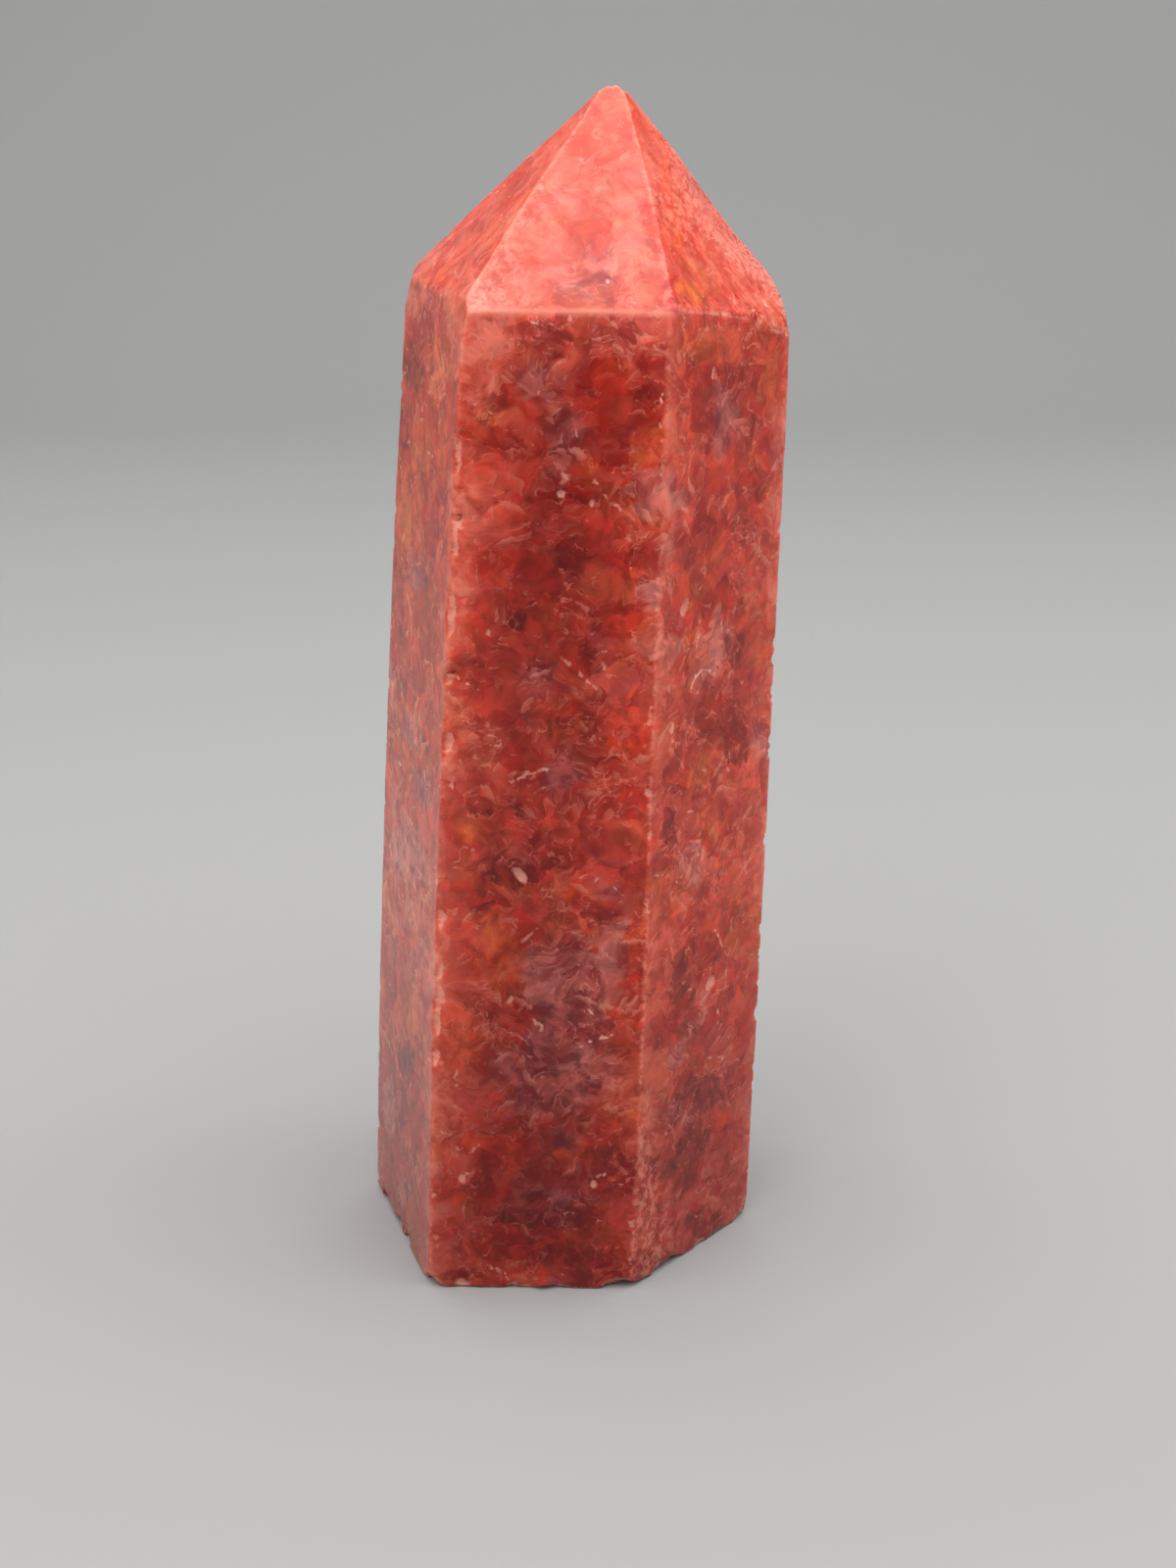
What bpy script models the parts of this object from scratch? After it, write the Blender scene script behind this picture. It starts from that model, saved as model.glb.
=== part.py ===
"""Sunstone point: a six-sided hand-ground tower of red translucent stone.

The stone is one solid. A rough block is ground flat on the foot, on six
leaning sides and on a six-faced point, the way a lapidary cuts it, and the
arrises are then eased. Units are metres, +Z is up, and the origin is on the
flat foot, under the middle of the stone's footprint box.
"""
import math

import bmesh
import bpy
from mathutils import Vector

MM = 0.001

NAME = "sunstone_point"

# ---------------------------------------------------------------- dimensions
HEIGHT = 100.0 * MM          # foot to tip
TIP_X = 3.86 * MM            # the tip is over this point of the foot:
TIP_Y = -0.11 * MM           # the tower leans about 2 degrees to +X
BLANK = 240.0 * MM           # rough block that is ground down

# Six long sides: azimuth of the outward normal (degrees, 0 is +X, -90 is the
# front), how far the face leans back from upright (degrees), and its distance
# from the origin at foot level.
SIDES = (
    ("side_left", -161.3, 3.2, 16.35 * MM),
    ("side_front", -91.1, 1.1, 15.93 * MM),
    ("side_right_front", -39.2, -0.4, 14.69 * MM),
    ("side_right_back", 20.4, -1.3, 14.51 * MM),
    ("side_back", 83.3, 0.6, 15.07 * MM),
    ("side_left_back", 141.2, 2.7, 15.76 * MM),
)

# Faces of the point: azimuth and rise of the normal (degrees), and how far
# the plane stands outside the tip. The right front face was ground in two
# passes, which leaves it slightly domed.
POINT_FACES = (
    ("point_left", -159.4, 43.2, 0.45 * MM),
    ("point_front", -90.8, 41.6, -0.05 * MM),
    ("point_right_front_upper", -30.0, 34.7, 0.48 * MM),
    ("point_right_front_lower", -31.4, 32.5, 0.93 * MM),
    ("point_right_back", 29.5, 38.8, 0.50 * MM),
    ("point_back", 83.3, 40.0, -0.05 * MM),
    ("point_left_back", 137.5, 41.8, 0.35 * MM),
)

# Small ground corners: azimuth and rise of the normal (degrees), and the
# plane's distance from the origin.
CORNERS = (
    ("shoulder_right_arris", -18.1, 32.9, 58.71 * MM),
    ("shoulder_right", 12.0, 24.0, 49.96 * MM),
    ("shoulder_left_front_point", -95.0, 41.9, 66.98 * MM),
    ("shoulder_left_front", -157.5, 11.6, 28.72 * MM),
    ("shoulder_left", 178.0, 18.0, 38.25 * MM),
    ("shoulder_right_front", -67.8, 36.4, 62.93 * MM),
    ("foot_right_front", -43.2, -1.9, 15.04 * MM),
    ("foot_left_front", -139.3, -28.4, 16.18 * MM),
    ("foot_right", -27.0, -13.3, 15.30 * MM),
)

ARRIS_DEPTH = 0.10 * MM      # how far each sharp arris is eased
ARRIS_MIN_TURN = 14.0        # degrees; flatter creases stay as ground
FOOT_ARRIS_DEPTH = 0.16 * MM  # the foot's rim is worn a little more

STONE_COLOUR = (0.42, 0.095, 0.065, 1.0)
STONE_ROUGHNESS = 0.18
STONE_IOR = 1.54


def direction(azimuth, rise):
    """Unit vector with this azimuth and rise above the horizontal."""
    a, r = math.radians(azimuth), math.radians(rise)
    return Vector((math.cos(r) * math.cos(a), math.cos(r) * math.sin(a), math.sin(r)))


def grind(bm, normal, distance):
    """Grind the solid flat along a plane: what stands outside it goes."""
    geom = bm.verts[:] + bm.edges[:] + bm.faces[:]
    cut = bmesh.ops.bisect_plane(
        bm, geom=geom, dist=1e-7, plane_co=normal * distance, plane_no=normal,
        clear_outer=True, clear_inner=False)
    rim = [e for e in cut["geom_cut"] if isinstance(e, bmesh.types.BMEdge)]
    if rim:
        bmesh.ops.holes_fill(bm, edges=rim, sides=0)
    bmesh.ops.remove_doubles(bm, verts=bm.verts[:], dist=2e-6)
    bmesh.ops.dissolve_degenerate(bm, dist=2e-6, edges=bm.edges[:])


def eased_planes(bm):
    """Planes that ease every sharp arris of the ground solid."""
    planes = []
    for e in bm.edges:
        if len(e.link_faces) != 2:
            continue
        n1, n2 = (f.normal for f in e.link_faces)
        if math.degrees(n1.angle(n2)) < ARRIS_MIN_TURN:
            continue
        mid = (e.verts[0].co + e.verts[1].co) / 2
        n = (n1 + n2).normalized()
        on_foot = abs(mid.z) < 1e-5
        depth = FOOT_ARRIS_DEPTH if on_foot else ARRIS_DEPTH
        planes.append((n, n.dot(mid) - depth))
    return planes


def main():
    for obj in list(bpy.data.objects):
        bpy.data.objects.remove(obj, do_unlink=True)

    bm = bmesh.new()
    bmesh.ops.create_cube(bm, size=BLANK)
    grind(bm, Vector((0, 0, -1)), 0.0)                       # the flat foot
    for _, azimuth, lean, reach in SIDES:
        grind(bm, direction(azimuth, lean), reach * math.cos(math.radians(lean)))
    tip = Vector((TIP_X, TIP_Y, HEIGHT))
    for _, azimuth, rise, standoff in POINT_FACES:
        n = direction(azimuth, rise)
        grind(bm, n, n.dot(tip) + standoff)
    for _, azimuth, rise, distance in CORNERS:
        grind(bm, direction(azimuth, rise), distance)
    bm.normal_update()
    for n, distance in eased_planes(bm):
        grind(bm, n, distance)
    bmesh.ops.recalc_face_normals(bm, faces=bm.faces[:])
    bmesh.ops.triangulate(bm, faces=bm.faces[:], quad_method="BEAUTY", ngon_method="BEAUTY")

    mesh = bpy.data.meshes.new(NAME)
    bm.to_mesh(mesh)
    bm.free()

    stone = bpy.data.materials.new("sunstone")
    stone.use_nodes = True
    shader = stone.node_tree.nodes["Principled BSDF"]
    shader.inputs["Base Color"].default_value = STONE_COLOUR
    shader.inputs["Roughness"].default_value = STONE_ROUGHNESS
    shader.inputs["Metallic"].default_value = 0.0
    shader.inputs["IOR"].default_value = STONE_IOR
    mesh.materials.append(stone)

    obj = bpy.data.objects.new(NAME, mesh)
    group = bpy.data.collections.new("sunstone_point_parts")
    bpy.context.scene.collection.children.link(group)
    group.objects.link(obj)


main()
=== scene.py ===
"""Sunstone point: the finished stone, its floor, light and camera.

The stone is one piece. Its ground faces are laid out again as planes, meshed
finely along the arrises, and then worn: the arrises are eased and nicked, the
rim of the foot is broken away in small shells, and the long faces are very
slightly crowned. The colour is procedural and three-dimensional, so it runs
through the stone from face to face.
"""
import math

import bpy
import numpy as np
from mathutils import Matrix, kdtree
from mathutils.geometry import delaunay_2d_cdt


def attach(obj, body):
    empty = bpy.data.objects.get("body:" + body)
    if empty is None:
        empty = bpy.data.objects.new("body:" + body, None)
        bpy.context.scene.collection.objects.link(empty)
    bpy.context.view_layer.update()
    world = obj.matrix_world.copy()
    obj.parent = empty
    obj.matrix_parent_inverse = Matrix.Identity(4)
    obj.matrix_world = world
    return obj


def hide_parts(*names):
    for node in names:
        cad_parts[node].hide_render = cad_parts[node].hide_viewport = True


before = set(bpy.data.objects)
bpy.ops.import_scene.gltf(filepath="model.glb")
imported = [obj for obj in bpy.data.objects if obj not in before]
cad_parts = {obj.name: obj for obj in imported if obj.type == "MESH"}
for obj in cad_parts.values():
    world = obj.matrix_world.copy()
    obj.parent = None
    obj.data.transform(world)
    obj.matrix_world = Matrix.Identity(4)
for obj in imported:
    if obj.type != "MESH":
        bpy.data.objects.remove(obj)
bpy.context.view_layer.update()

NODE = "sunstone_point"
MM = 0.001

# --------------------------------------------------------------- ground faces
# All lengths in this part are millimetres. Azimuth 0 is +X, -90 is the front.
HEIGHT = 100.0
TIP = np.array([3.86, -0.11, HEIGHT])
SIDES = (  # azimuth, lean back from upright, distance from the origin at the foot
    ("side_left", -161.3, 3.2, 16.35),
    ("side_front", -91.1, 1.1, 15.93),
    ("side_right_front", -39.2, -0.4, 14.69),
    ("side_right_back", 20.4, -1.3, 14.51),
    ("side_back", 83.3, 0.6, 15.07),
    ("side_left_back", 141.2, 2.7, 15.76),
)
POINT_FACES = (  # azimuth, rise of the normal, stand-off from the tip
    ("point_left", -159.4, 43.2, 0.45),
    ("point_front", -90.8, 41.6, -0.05),
    ("point_right_front_upper", -30.0, 34.7, 0.48),
    ("point_right_front_lower", -31.4, 32.5, 0.93),
    ("point_right_back", 29.5, 38.8, 0.50),
    ("point_back", 83.3, 40.0, -0.05),
    ("point_left_back", 137.5, 41.8, 0.35),
)
CORNERS = (  # azimuth and rise of the normal, distance from the origin
    ("shoulder_right_arris", -18.1, 32.9, 58.71),
    ("shoulder_right", 12.0, 24.0, 49.96),
    ("shoulder_left_front_point", -95.0, 41.9, 66.98),
    ("shoulder_left_front", -157.5, 11.6, 28.72),
    ("shoulder_left", 178.0, 18.0, 38.25),
    ("shoulder_right_front", -67.8, 36.4, 62.93),
    ("foot_right_front", -43.2, -1.9, 15.04),
    ("foot_left_front", -139.3, -28.4, 16.18),
    ("foot_right", -27.0, -13.3, 15.30),
)

# -------------------------------------------------------------- crystal grains
# The larger grains that show on the faces in view: what they look like, where
# their middles lie, half length, half width and the tilt of the long way, as an
# angle up from the level line that runs along the face.
GRAINS = {
    "side_front": (
        ("mauve", -0.2, -15.5, 23.7, 7.3, 4.1, 92), ("mauve", -2.4, -15.5, 19.2, 3.4, 2.7, 20),
        ("mauve", 2.7, -15.4, 28.2, 3.5, 2.2, 60), ("mist", 3.7, -15.4, 32.4, 2.6, 1.4, 65),
        ("mist", -1.7, -15.3, 30.4, 2.3, 1.3, 15), ("mist", 1.1, -15.5, 21.5, 2.2, 1.2, 40),
        ("coral", -5.2, -14.3, 80.6, 2.7, 1.8, 20), ("coral", -5.6, -14.4, 77.0, 2.0, 1.2, 80),
        ("coral", 4.9, -14.5, 81.5, 2.2, 1.0, 0), ("mist", 7.2, -14.9, 63.2, 2.7, 1.1, 85),
        ("mauve", -1.9, -15.7, 8.1, 4.2, 1.9, 0), ("dark", 2.8, -15.8, 11.9, 2.6, 2.0, 30),
        ("clear", -5.2, -14.4, 77.1, 1.3, 0.7, 1), ("clear", -5.4, -14.4, 74.1, 2.3, 1.1, 165),
        ("dark", -0.9, -14.3, 81.9, 1.8, 0.8, 130), ("clear", 2.5, -14.5, 78.1, 2.2, 2.1, 89),
        ("mauve", -1.8, -14.4, 78.8, 2.2, 1.8, 146), ("mauve", 0.2, -14.5, 73.9, 2.6, 1.8, 90),
        ("dark", 6.4, -14.6, 77.8, 1.4, 0.9, 180), ("amber", 6.8, -14.6, 73.7, 1.9, 1.4, 180),
        ("clear", 3.4, -14.6, 73.6, 1.8, 1, 90), ("clear", 0.5, -14.6, 69.6, 2.4, 1.1, 0),
        ("coral", -5.7, -14.3, 80.3, 2.1, 1.9, 82), ("coral", -6.8, -14.5, 69.9, 1.7, 1.5, 3),
        ("ember", -6, -14.5, 70.6, 0.7, 0.7, 52), ("dark", -2.9, -14.6, 67.5, 1.1, 0.6, 1),
        ("dark", 0.5, -14.7, 65.2, 1.8, 1.3, 1), ("clear", 5.6, -14.8, 64.6, 2.3, 1.3, 0),
        ("ember", -6, -14.6, 64.1, 1.9, 1.4, 2), ("ember", -6.4, -14.7, 59.9, 1.6, 1.4, 3),
        ("coral", -8.2, -14.6, 60.8, 1.9, 0.7, 89), ("dark", -3.7, -14.7, 59.6, 1.2, 1.1, 4),
        ("clear", 4.1, -14.9, 60.1, 2.2, 1.2, 0), ("clear", -6.7, -14.7, 55.1, 2.4, 0.9, 144),
        ("ember", -4.9, -14.8, 52.1, 2.5, 0.8, 147), ("mauve", -1.8, -14.8, 55, 1.4, 1, 1),
        ("dark", 2.3, -14.9, 57.2, 1.1, 0.7, 149), ("clear", 0.8, -14.9, 52.1, 1.3, 1.1, 1),
        ("ember", 5.1, -15.1, 50.8, 2.4, 1.6, 80), ("coral", -8.6, -14.8, 51.7, 1, 0.9, 84),
        ("mauve", -0.1, -15, 46.8, 1.4, 1.3, 88), ("dark", -6.8, -14.9, 44.6, 1.2, 1, 3),
        ("amber", -7.4, -15, 42, 1.5, 1.3, 3), ("dark", -3.3, -15, 43.8, 1.1, 0.9, 2),
        ("ember", 5.5, -15.2, 44.2, 1.5, 1.4, 90), ("dark", -4.1, -15.1, 38.9, 3.4, 1.3, 1),
        ("dark", -6.9, -15.1, 36.8, 1.8, 0.9, 89), ("amber", -5.4, -15.2, 31.2, 2.9, 1.8, 89),
        ("dark", 2.6, -15.3, 35.1, 1.8, 0.9, 1), ("mauve", 3.7, -15.3, 36.8, 1.2, 0.7, 158),
        ("mauve", 0.4, -15.4, 30.6, 3.4, 2.3, 1), ("mist", -1.2, -15.4, 28, 2, 1.5, 1),
        ("amber", -9, -15.3, 23.2, 2.7, 2.1, 87), ("mauve", -1, -15.5, 19.9, 5.5, 3.1, 1),
        ("dark", 2.1, -15.5, 24.4, 1.8, 0.8, 14), ("coral", 5.5, -15.7, 18.1, 1.6, 0.8, 90),
        ("ember", -8, -15.5, 16.4, 1.3, 1.1, 5), ("coral", -10.4, -15.5, 13.8, 2.1, 1, 88),
        ("clear", -6.5, -15.6, 12.7, 2, 1.7, 86), ("mauve", -0, -15.7, 14.2, 1.4, 1.2, 2),
        ("clear", 3.3, -15.7, 14, 1.7, 1.3, 1), ("ember", -9.9, -15.6, 9.7, 2, 1, 88),
        ("clear", -7.2, -15.6, 9.2, 2.1, 1.4, 88), ("dark", -3.2, -15.7, 7.5, 2.7, 1.9, 2),
        ("dark", 1.1, -15.7, 10.8, 1.7, 0.7, 1), ("clear", 4.3, -15.8, 9.4, 1, 0.9, 3),
        ("dark", 1.2, -15.8, 6.9, 1.5, 1.5, 26), ("amber", -10.9, -15.7, 3.5, 1.1, 0.9, 87),
        ("clear", -5.1, -15.8, 4.2, 3.1, 1.7, 1), ("dark", 0.7, -15.9, 2.7, 2.4, 2.1, 3),
        ("clear", 4.3, -16, 2.7, 1.6, 0.9, 90), ("coral", 5.7, -16, 3.6, 1, 0.9, 89),
        ("dark", -9.2, -15.7, 1.2, 2.1, 1, 1),
    ),
    "side_right_front": (
        ("mist", 12.0, -9.2, 55.4, 3.2, 2.2, 40), ("mist", 10.8, -10.3, 23.2, 2.1, 1.5, 60),
        ("dark", 10.6, -10.4, 10.0, 3.6, 2.6, 60), ("dark", 9.4, -12.0, 27.6, 2.5, 1.7, 80),
        ("mist", 7.9, -14.1, 57.2, 2.2, 1.4, 158), ("clear", 8.6, -13, 23.5, 2.9, 1.6, 150),
        ("amber", 8.2, -13.6, 35.4, 3.2, 2.2, 142), ("amber", 11.2, -10.3, 81, 3.4, 1.4, 172),
        ("ember", 9, -13, 78.5, 1.8, 1.3, 163), ("clear", 13.6, -7.4, 77.7, 1.8, 0.8, 171),
        ("mauve", 12.4, -8.8, 75, 2.9, 2.2, 108), ("amber", 17, -3.3, 76.7, 2, 1.6, 117),
        ("mist", 7.7, -14.5, 69.6, 3, 1.7, 166), ("clear", 16.1, -4.3, 68, 3, 0.6, 171),
        ("clear", 10.4, -11.2, 66, 2.4, 1, 1), ("ember", 14.1, -6.7, 69.9, 2.3, 0.9, 170),
        ("coral", 10.5, -11, 57.3, 1.9, 1.2, 102), ("dark", 14, -6.7, 55, 1.9, 1.4, 138),
        ("amber", 16.1, -4.1, 56, 3.3, 2.4, 117), ("dark", 12.3, -8.8, 52.9, 2.5, 1.1, 164),
        ("clear", 13, -7.9, 49, 4, 2.6, 153), ("amber", 11.1, -10.1, 46.4, 2.1, 1.4, 110),
        ("clear", 8.8, -12.9, 46.2, 1.9, 1.3, 147), ("mauve", 16.7, -3.3, 46.1, 1.8, 1.3, 125),
        ("dark", 14.4, -6.1, 45.7, 2.3, 0.8, 163), ("amber", 12.3, -8.7, 41.3, 2.4, 1.5, 153),
        ("dark", 8.5, -13.3, 41.5, 2.3, 1.2, 98), ("mist", 10.4, -10.9, 38, 2.5, 1.7, 145),
        ("amber", 14.9, -5.4, 32.8, 4.1, 1.5, 160), ("amber", 15.7, -4.2, 27.8, 3, 2.1, 135),
        ("clear", 11.6, -9.3, 29, 2.9, 1.7, 148), ("ember", 15.2, -4.9, 24.3, 2.8, 1.5, 152),
        ("clear", 9.8, -11.5, 25.1, 2.7, 1.6, 148), ("mist", 9.2, -12.1, 20.7, 1.7, 1.1, 135),
        ("dark", 11.6, -9.2, 15.6, 3.9, 1.8, 152), ("coral", 6.5, -15.5, 17.2, 2.5, 1.5, 144),
        ("mauve", 9.8, -11.4, 14.6, 2.9, 1.2, 153), ("ember", 14.5, -5.6, 9.6, 3.3, 1.9, 140),
        ("dark", 10, -11, 8.6, 3.1, 1.8, 142), ("coral", 14.5, -5.5, 1.6, 2.5, 1.2, 146),
        ("dark", 11.9, -8.7, 2.2, 2.5, 1.3, 144), ("ember", 7.3, -14.3, 8.7, 2.1, 1.4, 128),
    ),
    "side_left": (
        ("coral", -11.4, -2.7, 83.5, 6, 1.4, 6), ("dark", -12.3, -1.1, 77.7, 4.1, 1.7, 8),
        ("coral", -9.8, -8.3, 78.2, 2.3, 2.1, 12), ("amber", -11.8, -3.8, 71.1, 3.7, 2.2, 11),
        ("dark", -8.3, -13.5, 74.8, 1.4, 0.5, 9), ("amber", -12.8, -1.8, 65.2, 4.5, 2.3, 13),
        ("dark", -9.6, -11.1, 66.1, 1.2, 0.5, 13), ("mauve", -11.7, -5.6, 61.5, 4.3, 1.2, 13),
        ("dark", -13.6, -2.1, 50.5, 2, 1.2, 20), ("mauve", -11.4, -9.8, 44.2, 3.5, 1.6, 21),
        ("clear", -14.2, 0.2, 53.6, 3.4, 2, 19), ("mist", -12.7, -5.3, 47.7, 3.9, 1.5, 18),
        ("mist", -13.4, -5.2, 36.6, 6.1, 2.5, 22), ("amber", -13.1, -8.2, 22.7, 4.5, 2, 28),
        ("dark", -13.8, -7.2, 17.8, 3.3, 2, 36), ("clear", -12.8, -10.7, 13.8, 3.8, 2.7, 68),
        ("mist", -16.1, -1.7, 10.4, 3.4, 2.4, 54), ("mauve", -14.8, -6.6, 4.5, 3.8, 1.2, 30),
    ),
    "point_front": (
        ("mauve", 1.9, -12.4, 86.1, 4.5, 1.4, 0), ("mist", -1.1, -11.0, 87.6, 1.7, 1.0, 30),
        ("mist", 4.9, -10.6, 88.1, 1.7, 0.8, 60),
        ("coral", 3.9, -2, 97.8, 1.9, 1.3, 90), ("ember", 1.8, -4.2, 95.2, 1.4, 1.2, 178),
        ("mauve", 2.4, -12, 86.5, 2.9, 2, 180), ("ember", -3.3, -11.4, 87.1, 1.6, 1.3, 178),
        ("coral", 6, -12.4, 86.1, 2.3, 1.9, 90), ("coral", 5, -7.6, 91.5, 2.8, 1.2, 90),
        ("coral", -0.4, -7.5, 91.5, 1.9, 1.5, 92), ("ember", -2.3, -7.2, 91.9, 1.4, 1.1, 74),
    ),
    "point_right_front_lower": (
        ("ember", 10.4, -5.8, 88.3, 3.7, 1.7, 164), ("amber", 10.1, -9.6, 85.5, 3.4, 1.5, 8),
        ("clear", 14.2, -6.1, 83, 2.4, 1.2, 169),
    ),
    "point_right_front_upper": (
        ("ember", 8.1, -4.4, 92.4, 3.3, 0.9, 39), ("coral", 11, -1.6, 90.9, 2.6, 1.1, 12),
    ),
    "point_left": (
        ("amber", -6.2, -5.7, 88.5, 4.6, 2, 179), ("ember", -10.1, -4.3, 85.2, 4.5, 1.3, 169),
    ),
    "shoulder_left_front": (
        ("amber", -8.5, -11.2, 83.9, 2.2, 1, 180),
    ),
    "shoulder_right_arris": (
        ("amber", 16.9, -2.8, 81.8, 2.5, 0.7, 3),
    ),
}
KINDS = ("clear", "dark", "ember", "amber", "mauve", "mist", "coral")
HIDDEN_SHARES = (0.24, 0.20, 0.14, 0.12, 0.12, 0.09, 0.09)

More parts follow.
